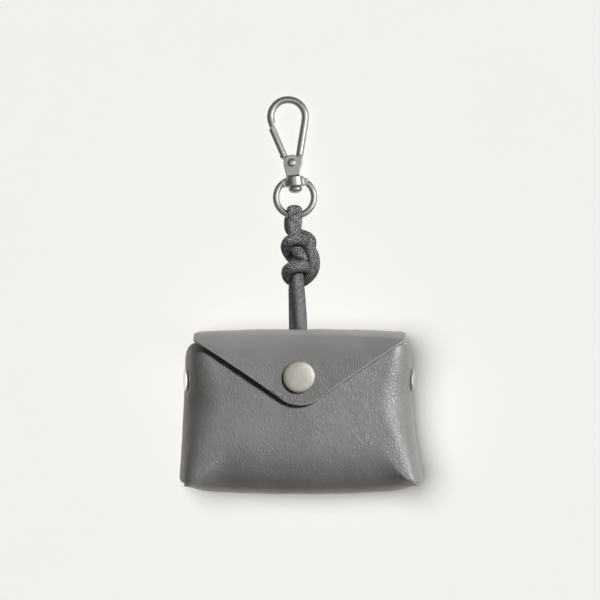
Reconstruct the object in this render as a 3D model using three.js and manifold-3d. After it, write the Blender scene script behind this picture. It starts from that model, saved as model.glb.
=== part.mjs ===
// A small pochette folded from one cut of leather, lying on its back, with a knotted cord loop
// and a swivel snap hook. Millimetres: +X to the right and +Y up the front, +Z out of the front.
import * as THREE from 'three';
import { mergeVertices } from 'three/addons/utils/BufferGeometryUtils.js';
import Module from 'manifold-3d';

const wasm = await Module();
wasm.setup();
const { lerp, smoothstep, degToRad } = THREE.MathUtils;

// Leather
const LEATHER = 1.8;
const GAP = 0.3;
const COLUMNS = 16;

// The box: height of the front over the back, and how far it sinks towards its edges
const FRONT = { height: 34, top: 27.8, sinkX: 1.2, sinkY: 1, middle: 2, halfX: 36, halfY: 26 };
const FRONT_LEVELS = { from: 4, to: 22, keeps: 0.2 };
const WIDTH_AT = { top: 27, bottom: -27 };
const BOTTOM = { line: -33, bow: 1.35, bowHalf: 40, foot: 4, roundness: 2.3, steps: 8 };
const BOTTOM_CORNER = { from: 34, bow: 2.2, reach: 11 };
const CORNER_Y = -24.2;

// The rounded fold from the front into a side wall: wide along the edge, tight at the corner and at the top
const SIDES = {
  left: {
    sign: -1, widthTop: 45.2, widthBottom: 47.7, waist: 0.1,
    fold: 19, cornerFold: 8.5, topFold: 11, roundness: 2.3,
  },
  right: {
    sign: 1, widthTop: 44.4, widthBottom: 48.9, waist: 1.7,
    fold: 17, cornerFold: 7, topFold: 10, roundness: 2.45,
  },
};
const FOLD_CORNER_REACH = 32;
const FOLD_TOP = { from: 2, to: 26 };
const BOTTOM_FOLD = { start: -8, reach: 15 };
const WING = { hem: 2.2, hemRise: 4, drop: 15, dropPower: 1.9, rows: 10, steps: 9 };
const SLIT = LEATHER + 0.6;

// Back, tabs, spine and flap
const SPINE = { line: 32.2, bow: 1, half: 40.4, backFold: 7, frontFold: 7, frontRise: 5 };
const BACK_ROWS = [-18, -8, 2, 7, 12.5, 18];
const TAB = { from: 2, to: 18, bend: 5, height: 22, bendSteps: 4, steps: 6, narrow: 0.18 };
const FLAP = { height: 36.9, rise: 0.02, sinkX: 0.6, sinkY: 0.5, rows: 6 };
const FLAP_TIP = { y: 3.75, radius: 12, slope: 0.708 };

// Press studs
const STUD = { post: 1.6, flange: 4.2, flangeThick: 1, rim: 0.5, segments: 16 };
const FLAP_STUD = { x: -0.4, y: 14.8, cap: 6, dome: 1.9, spacer: 4.2 };
const SIDE_STUD = { y: 12.5, z: 15.5, cap: 4.4, dome: 1.6 };

// Cord
const CORD = { diameter: 4, sides: 8, stretch: 6, tailSteps: 4 };
const CORD_LOOP = { wide: 4.8, thick: 2, sides: 12, steps: 16 };
const CORD_HOLE = { x: -0.75, z: 9.25, radius: 4.5 };
const STOP = { x: -0.75, y: 27.2, z: 9.25, halfX: 6.6, halfY: 2.5, halfZ: 5.6 };

// Swivel hook, in its own frame: +Y along the hook from the middle of the barrel
const HOOK = { x: -2.1, y: 90.7, z: 3.75, tilt: -3.7, swing: 5.2 };
const BARREL = { radius: 3.7, half: 2, bore: 2, chamfer: 0.3 };
const RING = { aside: -0.45, middle: -6.15, halfX: 7.55, halfY: 7.4, wire: 1.28 };
const BOW = { middle: 26.2, radius: 6.9, wire: 1.5, halfAngle: 15, lean: 1, turn: 30 };
const BOW_LEGS = { right: [6, 12, 18], left: 20 };
const PLATE = { half: 1.8, neckY: 2.35, neckFrom: -3.15, neckTo: 2.1, topY: 10.2, topFrom: 2.4, topTo: 4.25 };
const EYE = { radius: 3.3, from: 40, to: 190, slot: 1, slotRadius: 3.4 };
const STEM = { radius: 1.55, headRadius: 2.75, headTop: -2.35, headEnd: -4.5 };
const PIVOT = { x: -0.5, y: 7.45, pin: 0.95, hole: 1.25, head: 1.65, dome: 0.8, reach: 4 };
const GATE = { wire: 1.4, heel: 2.8, heelHalf: 0.7, neck: 1.2 };
const GATE_FOOT = new THREE.Vector2(-3.2, 10.3);
const GATE_TOP = new THREE.Vector2(-7.8, 24.3);
const NOTCH = { x: -7.32, y: 22.75, angle: 45.7, block: 10 };

const leatherLook = { color: 0x807e7d, roughness: 0.7, metalness: 0 };
const metalLook = { color: 0xb8b4a8, roughness: 0.3, metalness: 1 };
const cordLook = { color: 0x7c7c7d, roughness: 0.9, metalness: 0 };

// Solids and meshes

function toSolid(geometry) {
  const bare = geometry.clone();
  bare.deleteAttribute('normal');
  bare.deleteAttribute('uv');
  const merged = mergeVertices(bare, 1e-4);
  return new wasm.Manifold(new wasm.Mesh({
    numProp: 3,
    vertProperties: new Float32Array(merged.attributes.position.array),
    triVerts: new Uint32Array(merged.index.array),
  }));
}

function toGeometry(solid) {
  const made = solid.getMesh();
  const geometry = new THREE.BufferGeometry();
  geometry.setAttribute('position', new THREE.BufferAttribute(new Float32Array(made.vertProperties), 3));
  geometry.setIndex(new THREE.BufferAttribute(new Uint32Array(made.triVerts), 1));
  return geometry;
}

function addPiece(parent, name, solid, look) {
  const geometry = toGeometry(solid);
  geometry.computeVertexNormals();
  const mesh = new THREE.Mesh(geometry, new THREE.MeshStandardMaterial(look));
  mesh.name = name;
  parent.add(mesh);
}

// A solid turned about the Y axis from rows of radius and height that start and end on the axis.
function turned(profile, segments = 20) {
  const points = profile.map(([radius, height]) => new THREE.Vector2(radius, height));
  return new THREE.LatheGeometry(points, segments);
}

// A bar along a route of points, with an oval section: wide across the route, thick the other way.
function bar(points, wide, thick, sides, steps) {
  const section = new THREE.Shape(new THREE.EllipseCurve(0, 0, wide / 2, thick / 2).getPoints(sides));
  const route = new THREE.CatmullRomCurve3(points, false, 'centripetal');
  return toSolid(new THREE.ExtrudeGeometry(section, { steps, extrudePath: route, curveSegments: sides }));
}

// The points on a sheet's outer face, in patches of rows, become one closed wall of leather.
// A patch's rows run down and its columns to the right, seen from outside.
function thickSheet(patches, thickness) {
  const outer = [];
  const known = new Map();
  const faces = [];
  const vertex = (point) => {
    const key = point.toArray().map((value) => Math.round(value * 1000)).join();
    if (!known.has(key)) {
      known.set(key, outer.length);
      outer.push(point);
    }
    return known.get(key);
  };
  for (const rows of patches) {
    for (let i = 0; i + 1 < rows.length; i += 1) {
      for (let j = 0; j + 1 < rows[i].length; j += 1) {
        const corners = [rows[i][j], rows[i][j + 1], rows[i + 1][j + 1], rows[i + 1][j]].map(vertex);
        faces.push([corners[0], corners[2], corners[1]], [corners[0], corners[3], corners[2]]);
      }
    }
  }
  const normals = outer.map(() => new THREE.Vector3());
  for (const [a, b, c] of faces) {
    const ab = outer[b].clone().sub(outer[a]);
    const ac = outer[c].clone().sub(outer[a]);
    const weighted = ab.cross(ac);
    for (const corner of [a, b, c]) normals[corner].add(weighted);
  }
  const inner = outer.map((point, i) => point.clone().addScaledVector(normals[i].normalize(), -thickness));
  const count = outer.length;
  const edges = new Set(faces.flatMap(([a, b, c]) => [`${a},${b}`, `${b},${c}`, `${c},${a}`]));
  const triangles = [...faces, ...faces.map(([a, b, c]) => [a + count, c + count, b + count])];
  for (const edge of edges) {
    const [from, to] = edge.split(',').map(Number);
    if (edges.has(`${to},${from}`)) continue;
    triangles.push([to, from, from + count], [to, from + count, to + count]);
  }
  const geometry = new THREE.BufferGeometry().setFromPoints([...outer, ...inner]);
  geometry.setIndex(triangles.flat());
  return toSolid(geometry);
}

// The folded leather

function frontHeight(x, y) {
  const level = lerp(1, FRONT_LEVELS.keeps, smoothstep(y, FRONT_LEVELS.from, FRONT_LEVELS.to));
  const acrossX = x / FRONT.halfX;
  const below = Math.min(y - FRONT.middle, 0) / FRONT.halfY;
  return FRONT.height - FRONT.sinkX * level * acrossX ** 2 - FRONT.sinkY * below ** 2;
}

function baseWidth(side, y) {
  const share = (y - WIDTH_AT.bottom) / (WIDTH_AT.top - WIDTH_AT.bottom);
  return lerp(side.widthBottom, side.widthTop, share) - side.waist * 4 * share * (1 - share);
}

// Where the front starts to roll over into a side wall.
function foldStart(side, y) {
  const low = lerp(side.cornerFold, side.fold, smoothstep(y, CORNER_Y, CORNER_Y + FOLD_CORNER_REACH));
  return baseWidth(side, y) - lerp(low, side.topFold, smoothstep(y, FOLD_TOP.from, FOLD_TOP.to));
}

const cornerX = (side) => foldStart(side, CORNER_Y);
const spineLine = (x) => SPINE.line - SPINE.bow * (x / SPINE.half) ** 2;

// The line that the bottom wall stands on: bowed, and drawn up at its corners.
function bottomLine(x) {
  const pastCorner = Math.max(0, Math.abs(x) - BOTTOM_CORNER.from) / BOTTOM_CORNER.reach;
  return BOTTOM.line + BOTTOM.bow * (x / BOTTOM.bowHalf) ** 2 + BOTTOM_CORNER.bow * pastCorner ** 2;
}

// The edge of the front where it starts to roll over into the bottom wall.
function bottomStart(x) {
  const side = x < 0 ? SIDES.left : SIDES.right;
  const share = smoothstep(Math.abs(x), cornerX(side) - BOTTOM_FOLD.reach, cornerX(side));
  return lerp(BOTTOM_FOLD.start, CORNER_Y, share);
}

// A rounded fold from flat to upright: how far out and how far up at each angle.
const foldOut = (angle, roundness) => Math.sin(angle) ** (2 / roundness);
const foldUp = (angle, roundness) => Math.cos(angle) ** (2 / roundness);

function frontPatch() {
  const rows = [];
  for (let i = 0; i <= WING.rows; i += 1) {
    const v = i / WING.rows;
    const sideY = lerp(FRONT.top, CORNER_Y, v);
    const row = [];
    for (let j = 0; j <= COLUMNS; j += 1) {
      const u = j / COLUMNS;
      const lowX = lerp(-cornerX(SIDES.left), cornerX(SIDES.right), u);
      const x = lerp(-foldStart(SIDES.left, sideY), foldStart(SIDES.right, sideY), u);
      const y = lerp(FRONT.top, bottomStart(lowX), v);
      row.push(new THREE.Vector3(x, y, frontHeight(x, y)));
    }
    rows.push(row);
  }
  return rows;
}

function wingPatch(side) {
  const lowShift = CORNER_Y - bottomLine(footWidth(side)) - SLIT;
  const rows = [];
  for (let i = 0; i <= WING.rows; i += 1) {
    const v = i / WING.rows;
    const startY = lerp(FRONT.top, CORNER_Y, v);
    const startX = foldStart(side, startY);
    const startZ = frontHeight(side.sign * startX, startY);
    const hem = WING.hem + WING.hemRise * smoothstep(v, 0.8, 1) ** 2;
    const lastAngle = Math.acos((hem / startZ) ** (side.roundness / 2));
    const row = [];
    for (let j = 0; j <= WING.steps; j += 1) {
      const angle = (j / WING.steps) * lastAngle;
      const out = foldOut(angle, side.roundness);
      const z = startZ * foldUp(angle, side.roundness);
      const drop = WING.drop * (1 - z / startZ) ** WING.dropPower;
      const y = startY - (1 - v) * drop - v * lowShift * out ** 2;
      const x = lerp(startX, baseWidth(side, y), out);
      row.push(new THREE.Vector3(side.sign * x, y, z));
    }
    rows.push(side.sign > 0 ? row : row.reverse());
  }
  return rows;
}

// A row across the strip that runs down the front, under the bottom, up the back and over the top.
function stripRow(leftWidth, rightWidth, yAt, zAt) {
  const row = [];
  for (let j = 0; j <= COLUMNS; j += 1) {
    const x = lerp(-leftWidth, rightWidth, j / COLUMNS);
    row.push(new THREE.Vector3(x, yAt(x), zAt(x)));
  }
  return row;
}

const footWidth = (side) => baseWidth(side, CORNER_Y) - SLIT;

function backWidth(side, y) {
  const share = smoothstep(y, BOTTOM.line, SPINE.line);
  return lerp(footWidth(side), SPINE.half, share);
}

function bottomRows() {
  const rows = [];
  for (let i = 0; i <= BOTTOM.steps; i += 1) {
    const angle = (i / BOTTOM.steps) * (Math.PI / 2);
    const out = foldOut(angle, BOTTOM.roundness);
    const row = [];
    for (let j = 0; j <= COLUMNS; j += 1) {
      const u = j / COLUMNS;
      const startX = lerp(-cornerX(SIDES.left), cornerX(SIDES.right), u);
      const startY = bottomStart(startX);
      const footX = lerp(-footWidth(SIDES.left), footWidth(SIDES.right), u);
      const x = lerp(startX, footX, out ** 2);
      const y = lerp(startY, bottomLine(x), out);
      const z = lerp(BOTTOM.foot, frontHeight(startX, startY), foldUp(angle, BOTTOM.roundness));
      row.push(new THREE.Vector3(x, y, z));
    }
    rows.push(row);
  }
  for (const degrees of [30, 60, 90]) {
    const angle = degToRad(degrees);
    const inward = (x) => bottomLine(x) + BOTTOM.foot * (1 - Math.cos(angle));
    const height = BOTTOM.foot * (1 - Math.sin(angle));
    rows.push(stripRow(footWidth(SIDES.left), footWidth(SIDES.right), inward, () => height));
  }
  return rows;
}

function backRows() {
  const { left, right } = SIDES;
  return BACK_ROWS.map((y) => stripRow(backWidth(left, y), backWidth(right, y), () => y, () => 0));
}

function flapHeight(x, y) {
  const middle = FLAP_STUD.y;
  const along = (y - middle) / (SPINE.line - middle);
  const level = FLAP.height + FLAP.rise * (y - middle);
  return level - FLAP.sinkX * (x / SPINE.half) ** 2 - FLAP.sinkY * along ** 2;
}

function spineRows() {
  const rows = [];
  for (const degrees of [0, 22.5, 45, 67.5, 90]) {
    const angle = degToRad(degrees);
    const y = (x) => spineLine(x) - SPINE.backFold * (1 - Math.sin(angle));
    const z = SPINE.backFold * (1 - Math.cos(angle));
    rows.push(stripRow(SPINE.half, SPINE.half, y, () => z));
  }
  for (const share of [0.33, 0.66]) {
    const foldHeight = FLAP.height - SPINE.frontRise;
    rows.push(stripRow(SPINE.half, SPINE.half, spineLine, () => lerp(SPINE.backFold, foldHeight, share)));
  }
  for (const degrees of [0, 22.5, 45, 67.5, 90]) {
    const angle = degToRad(degrees);
    const forward = SPINE.frontFold * (1 - Math.cos(angle));
    const y = (x) => spineLine(x) - forward;
    const z = (x) => flapHeight(x, y(x)) - SPINE.frontRise * (1 - Math.sin(angle));
    const half = Math.min(SPINE.half, flapHalf(SPINE.line - forward));
    rows.push(stripRow(half, half, y, z));
  }
  return rows;
}

// Half of the flap's width: straight slanting edges that meet in a round tip.
function flapHalf(y) {
  const lean = Math.atan(FLAP_TIP.slope);
  const middle = FLAP_TIP.y + FLAP_TIP.radius;
  const roundTop = middle - FLAP_TIP.radius * Math.cos(lean);
  if (y < roundTop) return Math.sqrt(FLAP_TIP.radius ** 2 - (middle - y) ** 2);
  const apex = middle - FLAP_TIP.radius / Math.cos(lean);
  return (y - apex) / FLAP_TIP.slope;
}

function flapRows() {
  const lean = Math.atan(FLAP_TIP.slope);
  const middle = FLAP_TIP.y + FLAP_TIP.radius;
  const start = SPINE.line - SPINE.frontFold;
  const roundTop = middle - FLAP_TIP.radius * Math.cos(lean);
  const lines = [];
  for (let i = 1; i <= FLAP.rows; i += 1) lines.push(lerp(start, roundTop, i / FLAP.rows));
  for (const share of [0.75, 0.5, 0.3]) lines.push(middle - FLAP_TIP.radius * Math.cos(lean * share));
  const bend = (x, y) => y - (1 - smoothstep(start - y, 0, start - FLAP_TIP.y)) * (SPINE.line - spineLine(x));
  return lines.map((line) => {
    const half = flapHalf(line);
    return stripRow(half, half, (x) => bend(x, line), (x) => flapHeight(x, bend(x, line)));
  });
}

// A point on a wing's outer face, at a height over the back.
function wingPoint(side, y, z) {
  const startX = foldStart(side, y);
  const startZ = frontHeight(startX, y);
  const angle = Math.acos((z / startZ) ** (side.roundness / 2));
  const x = lerp(startX, baseWidth(side, y), foldOut(angle, side.roundness));
  return new THREE.Vector3(side.sign * x, y, z);
}

function wingNormal(side, y, z) {
  const step = 0.5;
  const upward = wingPoint(side, y, z + step).sub(wingPoint(side, y, z - step));
  const alongY = wingPoint(side, y + step, z).sub(wingPoint(side, y - step, z));
  return upward.cross(alongY).multiplyScalar(-side.sign).normalize();
}

// A tab of the back, folded up against the inner face of a wing.
function tabPatch(side) {
  const middle = (TAB.from + TAB.to) / 2;
  const rows = [];
  for (const y of BACK_ROWS.filter((line) => line >= TAB.from && line <= TAB.to)) {
    const inside = (z) => {
      const near = middle + (y - middle) * (1 - TAB.narrow * (z / TAB.height));
      return wingPoint(side, near, z).addScaledVector(wingNormal(side, near, z), -(LEATHER + GAP * 1.5));
    };
    const root = new THREE.Vector3(side.sign * backWidth(side, y), y, 0);
    const bendEnd = inside(TAB.bend);
    const bend = new THREE.QuadraticBezierCurve3(root, new THREE.Vector3(bendEnd.x, y, 0), bendEnd);
    const row = bend.getPoints(TAB.bendSteps);
    for (let i = 1; i <= TAB.steps; i += 1) row.push(inside(lerp(TAB.bend, TAB.height, i / TAB.steps)));
    rows.push(side.sign > 0 ? row : row.reverse());
  }
  return rows;
}

// A cylinder along the Z axis of a frame that stands on a face of the leather.
function drill(radius, from, to, place) {
  const hole = new THREE.CylinderGeometry(radius, radius, to - from, 20);
  hole.rotateX(Math.PI / 2);
  hole.translate(0, 0, (from + to) / 2);
  return toSolid(hole.applyMatrix4(place));
}

function placeOn(point, outward) {
  const turn = new THREE.Quaternion().setFromUnitVectors(new THREE.Vector3(0, 0, 1), outward);
  return new THREE.Matrix4().compose(point, turn, new THREE.Vector3(1, 1, 1));
}

function sideStudPlace(side) {
  return placeOn(wingPoint(side, SIDE_STUD.y, SIDE_STUD.z), wingNormal(side, SIDE_STUD.y, SIDE_STUD.z));
}

function flapStudPlace() {
  const top = flapHeight(FLAP_STUD.x, FLAP_STUD.y);
  return placeOn(new THREE.Vector3(FLAP_STUD.x, FLAP_STUD.y, top), new THREE.Vector3(0, 0, 1));
}

function leatherBody() {
  const strip = [frontPatch().at(-1), ...bottomRows().slice(1), ...backRows(), ...spineRows(), ...flapRows()];
  const sides = Object.values(SIDES);
  const patches = [frontPatch(), strip, ...sides.map(wingPatch), ...sides.map(tabPatch)];
  const holeCentre = new THREE.Vector3(CORD_HOLE.x, SPINE.line, CORD_HOLE.z);
  const cordHole = placeOn(holeCentre, new THREE.Vector3(0, 1, 0));
  const stackDepth = 4 * LEATHER;
  const studHole = (place) => drill(STUD.post + GAP, -stackDepth, LEATHER, place);
  return thickSheet(patches, LEATHER)
    .subtract(studHole(flapStudPlace()))
    .subtract(studHole(sideStudPlace(SIDES.left)))
    .subtract(studHole(sideStudPlace(SIDES.right)))
    .subtract(drill(CORD_HOLE.radius, -2 * LEATHER, LEATHER, cordHole));
}

// Press studs

const domeRows = (radius, rise, base) => [
  [0, base + rise],
  [radius * 0.42, base + rise * 0.93],
  [radius * 0.75, base + rise * 0.7],
  [radius * 0.95, base + rise * 0.36],
  [radius, base],
];

// A domed cap over the leather, its post through the stack and the flange that holds it inside.
function stud(cap, dome, stack, spacer, place) {
  const capBase = GAP + STUD.rim;
  const rows = [...domeRows(cap, dome - capBase, capBase), [cap * 0.96, GAP], [STUD.post, GAP]];
  if (spacer) {
    const top = -LEATHER - GAP;
    const bottom = -stack + LEATHER + GAP;
    rows.push([STUD.post, top], [spacer, top], [spacer, bottom], [STUD.post, bottom]);
  }
  const under = -stack - GAP;
  rows.push([STUD.post, under], [STUD.flange, under], [STUD.flange, under - STUD.flangeThick]);
  rows.push([0, under - STUD.flangeThick]);
  const shape = turned(rows.reverse(), STUD.segments);
  shape.rotateX(Math.PI / 2);
  return toSolid(shape.applyMatrix4(place));
}

function flapStud() {
  const { x, y, cap, dome, spacer } = FLAP_STUD;
  return stud(cap, dome, flapHeight(x, y) - frontHeight(x, y) + LEATHER, spacer, flapStudPlace());
}

function sideStud(side) {
  return stud(SIDE_STUD.cap, SIDE_STUD.dome, 2 * LEATHER + 3 * GAP, 0, sideStudPlace(side));
}

// Cord

const points = (rows) => rows.map(([x, y, z]) => new THREE.Vector3(x, y, z));

// From the ring's back, under its wire, round it and down its front.
const LOOP_ROUTE = points([
  [-3.5, 73.3, 2.1],
  [-3.4, 75.4, 1.7],
  [-2.7, 77.6, 1.7],
  [-2.4, 79.8, 3.2],
  [-2.1, 79.8, 6],
  [-1.9, 77.6, 7.5],
  [-2, 75.4, 7.6],
  [-2.1, 73.3, 7.5],
]);

// The strand from the front of the ring: down under the top turn, across to the lower right, round
// the back to the left, over the top turn, in behind the right strand and out at the bottom.
const FRONT_STRAND = points([
  [-2.1, 73, 7.5], [-2.1, 71.5, 7.5], [-2.1, 69.8, 7.2], [-2.6, 67.2, 6.6], [-2.3, 64.7, 7.4],
  [-0.2, 62.4, 8.9], [2.3, 60.5, 8.6], [4.2, 58.9, 6], [4.6, 57.2, 3.2], [1.6, 56.6, 2.4],
  [-1.6, 58.9, 2.4], [-4.1, 61.7, 2.8],
  [-5.2, 63.9, 5.8], [-5.1, 65.8, 9], [-3.6, 67.2, 11.2], [-1.2, 67.7, 11.5], [1, 67, 9.6], [2.3, 65.4, 6.2],
  [1.6, 63.3, 4.4], [0, 61.1, 4.6], [-1.2, 58.7, 6.2], [-1.4, 56.2, 8.4], [-1, 53.2, 9], [-0.6, 49.6, 9],
]);

// The strand from behind the ring: out to the right over the others, behind the bottom to the left,
// over the bottom turn, in behind itself and out at the bottom, behind the front strand.
const BACK_STRAND = points([
  [-3.5, 73, 2.1], [-3.5, 72.2, 2.1], [-1.8, 70.6, 2.4], [0.8, 69.4, 4], [3.2, 68.2, 7.4], [4.2, 66.4, 9.6],
  [4, 64, 10.4], [5.2, 61, 10.4], [5.6, 57.9, 9.9], [4.9, 55, 8.4], [3.2, 52.8, 5.6], [1.2, 51.4, 3],
  [-1, 51, 2.4], [-3.4, 51.6, 3.2], [-4.8, 53.2, 6.2], [-4.9, 55.2, 9.6], [-3.4, 56.4, 12],
  [-0.8, 56.9, 12.6], [1.8, 57, 10.6], [3.4, 55.6, 6.6], [0.6, 54.9, 5.4], [-1.6, 53, 5.2], [-2.2, 49.6, 5.4],
]);

const FRONT_TAIL = points([[-0.6, 49.3, 9], [0, 42, 9.8], [0.4, 36, 10.7], [0.5, 30.1, 11]]);
const BACK_TAIL = points([[-2.2, 49.3, 5.4], [-2.2, 42, 6], [-2.1, 36, 7.1], [-2, 30.1, 7.5]]);

const roundCord = (route, steps) => bar(route, CORD.diameter, CORD.diameter, CORD.sides, steps);

const cordLoop = () => bar(LOOP_ROUTE, CORD_LOOP.wide, CORD_LOOP.thick, CORD_LOOP.sides, CORD_LOOP.steps);

// The knot's strands touch each other, so they are joined from short stretches that overlap by one point.
function cordKnot() {
  const bars = [];
  for (const route of [FRONT_STRAND, BACK_STRAND]) {
    for (let from = 0; from + 2 < route.length; from += CORD.stretch) {
      bars.push(roundCord(route.slice(from, from + CORD.stretch + 2), CORD.stretch));
    }
  }
  return bars.reduce((whole, next) => whole.add(next));
}

function cordStop() {
  const ball = new THREE.SphereGeometry(1, 16, 10);
  ball.scale(STOP.halfX, STOP.halfY, STOP.halfZ);
  return toSolid(ball.translate(STOP.x, STOP.y, STOP.z));
}

// Swivel hook

function swivelRing() {
  const { radius, half, bore, chamfer } = BARREL;
  const barrel = turned([
    [0, -half],
    [radius - chamfer, -half],
    [radius, chamfer - half],
    [radius, half - chamfer],
    [radius - chamfer, half],
    [0, half],
  ]);
  const hoop = new THREE.TorusGeometry(1, RING.wire / RING.halfX, 8, 24);
  hoop.scale(RING.halfX, RING.halfY, RING.halfX);
  hoop.translate(RING.aside, RING.middle, 0);
  const through = new THREE.CylinderGeometry(bore, bore, 4 * half, 20);
  return toSolid(barrel).add(toSolid(hoop)).subtract(toSolid(through));
}

// The bow's middle line: up the right leg, round the top and down to the gate, leaning about the rivet.
function bowRoute() {
  const halfAngle = degToRad(BOW.halfAngle);
  const legAt = (y) => (y - BOW.middle + BOW.radius / Math.sin(halfAngle)) * Math.tan(halfAngle);
  const route = BOW_LEGS.right.map((y) => new THREE.Vector3(legAt(y), y, 0));
  for (let degrees = -BOW.halfAngle; degrees <= 180 + BOW.halfAngle; degrees += BOW.turn) {
    const angle = degToRad(degrees);
    const y = BOW.middle + BOW.radius * Math.sin(angle);
    route.push(new THREE.Vector3(BOW.radius * Math.cos(angle), y, 0));
  }
  route.push(new THREE.Vector3(-legAt(BOW_LEGS.left), BOW_LEGS.left, 0));
  const rivet = new THREE.Vector3(PIVOT.x, PIVOT.y, 0);
  const across = new THREE.Vector3(0, 0, 1);
  return route.map((point) => point.sub(rivet).applyAxisAngle(across, degToRad(BOW.lean)).add(rivet));
}

// Everything on one side of the slanting joint between the bow and the gate.
function notchBlock(sign) {
  const block = new THREE.BoxGeometry(NOTCH.block, NOTCH.block, NOTCH.block);
  block.translate(0, sign * (NOTCH.block - GAP) / 2, 0);
  block.rotateZ(degToRad(NOTCH.angle));
  return toSolid(block.translate(NOTCH.x, NOTCH.y, 0));
}

function plate() {
  const outline = new THREE.Shape();
  outline.moveTo(PLATE.neckFrom, PLATE.neckY);
  outline.lineTo(PLATE.neckTo, PLATE.neckY);
  outline.lineTo(PLATE.topTo, PLATE.topY);
  outline.lineTo(PLATE.topFrom, PLATE.topY);
  outline.absarc(PIVOT.x, PIVOT.y, EYE.radius, degToRad(EYE.from), degToRad(EYE.to), false);
  const body = new THREE.ExtrudeGeometry(outline, {
    depth: 2 * PLATE.half,
    bevelEnabled: false,
    curveSegments: 14,
  });
  return toSolid(body.translate(0, 0, -PLATE.half));
}

function stem() {
  const { radius, headRadius, headTop, headEnd } = STEM;
  return toSolid(turned([
    [0, headEnd],
    [headRadius * 0.7, headEnd + 0.3],
    [headRadius, headTop - 0.4],
    [headRadius * 0.97, headTop],
    [radius, headTop],
    [radius, PLATE.neckY + 0.6],
    [0, PLATE.neckY + 0.6],
  ]));
}

const atPivot = new THREE.Matrix4().makeTranslation(PIVOT.x, PIVOT.y, 0);

function hookBody() {
  const bow = bar(bowRoute(), 2 * BOW.wire, 2 * BOW.wire, 8, 28).subtract(notchBlock(-1));
  const slot = drill(EYE.slotRadius, -EYE.slot, EYE.slot, atPivot);
  const pinHole = drill(PIVOT.hole, -PIVOT.reach, PIVOT.reach, atPivot);
  return bow.add(plate()).subtract(slot).subtract(pinHole).add(stem());
}

function hookGate() {
  const foot = new THREE.Vector3(GATE_FOOT.x, GATE_FOOT.y, 0);
  const top = new THREE.Vector3(GATE_TOP.x, GATE_TOP.y, 0);
  const rod = bar([foot, top], 2 * GATE.wire, 2 * GATE.wire, 10, 1).subtract(notchBlock(1));
  const heel = drill(GATE.heel, -GATE.heelHalf, GATE.heelHalf, atPivot);
  const reach = new THREE.Vector2(GATE_FOOT.x - PIVOT.x, GATE_FOOT.y - PIVOT.y);
  const neck = new THREE.BoxGeometry(reach.length() + GATE.wire, 2 * GATE.neck, 2 * GATE.heelHalf);
  neck.translate((reach.length() + GATE.wire) / 2, 0, 0);
  neck.rotateZ(reach.angle());
  neck.applyMatrix4(atPivot);
  return rod.add(heel).add(toSolid(neck)).subtract(drill(PIVOT.hole, -PIVOT.reach, PIVOT.reach, atPivot));
}

function gateRivet() {
  const under = PLATE.half + GAP;
  const half = [...domeRows(PIVOT.head, PIVOT.dome, under), [PIVOT.pin, under]];
  const mirrored = half.map(([radius, height]) => [radius, -height]).reverse();
  const shape = turned([...half, ...mirrored].reverse(), STUD.segments);
  shape.rotateX(Math.PI / 2);
  return toSolid(shape.applyMatrix4(atPivot));
}

// The whole object

const pochette = new THREE.Group();
addPiece(pochette, 'leather_body', leatherBody(), leatherLook);
addPiece(pochette, 'flap_snap', flapStud(), metalLook);
addPiece(pochette, 'side_snap_left', sideStud(SIDES.left), metalLook);
addPiece(pochette, 'side_snap_right', sideStud(SIDES.right), metalLook);
addPiece(pochette, 'cord_loop', cordLoop(), cordLook);
addPiece(pochette, 'cord_knot', cordKnot(), cordLook);
addPiece(pochette, 'cord_tail_front', roundCord(FRONT_TAIL, CORD.tailSteps), cordLook);
addPiece(pochette, 'cord_tail_back', roundCord(BACK_TAIL, CORD.tailSteps), cordLook);
addPiece(pochette, 'cord_stop', cordStop(), cordLook);

const hook = new THREE.Group();
hook.position.set(HOOK.x, HOOK.y, HOOK.z);
hook.rotation.set(degToRad(HOOK.tilt), 0, degToRad(HOOK.swing), 'ZYX');
addPiece(hook, 'swivel_ring', swivelRing(), metalLook);
addPiece(hook, 'hook_body', hookBody(), metalLook);
addPiece(hook, 'hook_gate', hookGate(), metalLook);
addPiece(hook, 'gate_rivet', gateRivet(), metalLook);
pochette.add(hook);

export default pochette;
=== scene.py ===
# %% [markdown]
# # A folded leather pochette on a knotted cord
# The real object is a small grey pouch folded from one cut of leather. A pointed flap closes over its
# front with a press stud, and a braided cord, tied in a knot, carries a swivel snap hook.
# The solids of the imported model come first, as a fixed frame in metres. Every piece below is made at
# its real size in that same frame, so nothing has to be fitted afterwards.

# %% The fixed frame
import math

import bpy
import numpy as np
from mathutils import Matrix, Vector, noise
from mathutils.kdtree import KDTree


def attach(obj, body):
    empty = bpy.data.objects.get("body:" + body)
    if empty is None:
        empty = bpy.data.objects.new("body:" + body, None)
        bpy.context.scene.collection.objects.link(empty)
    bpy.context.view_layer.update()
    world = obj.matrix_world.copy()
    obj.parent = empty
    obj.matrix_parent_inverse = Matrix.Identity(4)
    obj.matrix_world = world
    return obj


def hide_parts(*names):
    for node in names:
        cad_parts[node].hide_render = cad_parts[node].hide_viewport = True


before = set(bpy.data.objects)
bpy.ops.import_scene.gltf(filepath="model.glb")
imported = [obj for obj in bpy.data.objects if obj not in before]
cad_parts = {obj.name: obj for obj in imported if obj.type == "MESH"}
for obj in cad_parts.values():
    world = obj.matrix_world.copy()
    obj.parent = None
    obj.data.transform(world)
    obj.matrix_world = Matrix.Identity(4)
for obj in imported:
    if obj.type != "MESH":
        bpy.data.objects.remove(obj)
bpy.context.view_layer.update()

MM = 0.001
scene = bpy.context.scene


# %% [markdown]
# ## The camera
# The picture looks straight down on the pouch from about two thirds of a metre, with a long lens. A
# camera without any rotation looks down the Z axis with +Y up in the picture, which is just that view.

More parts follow.
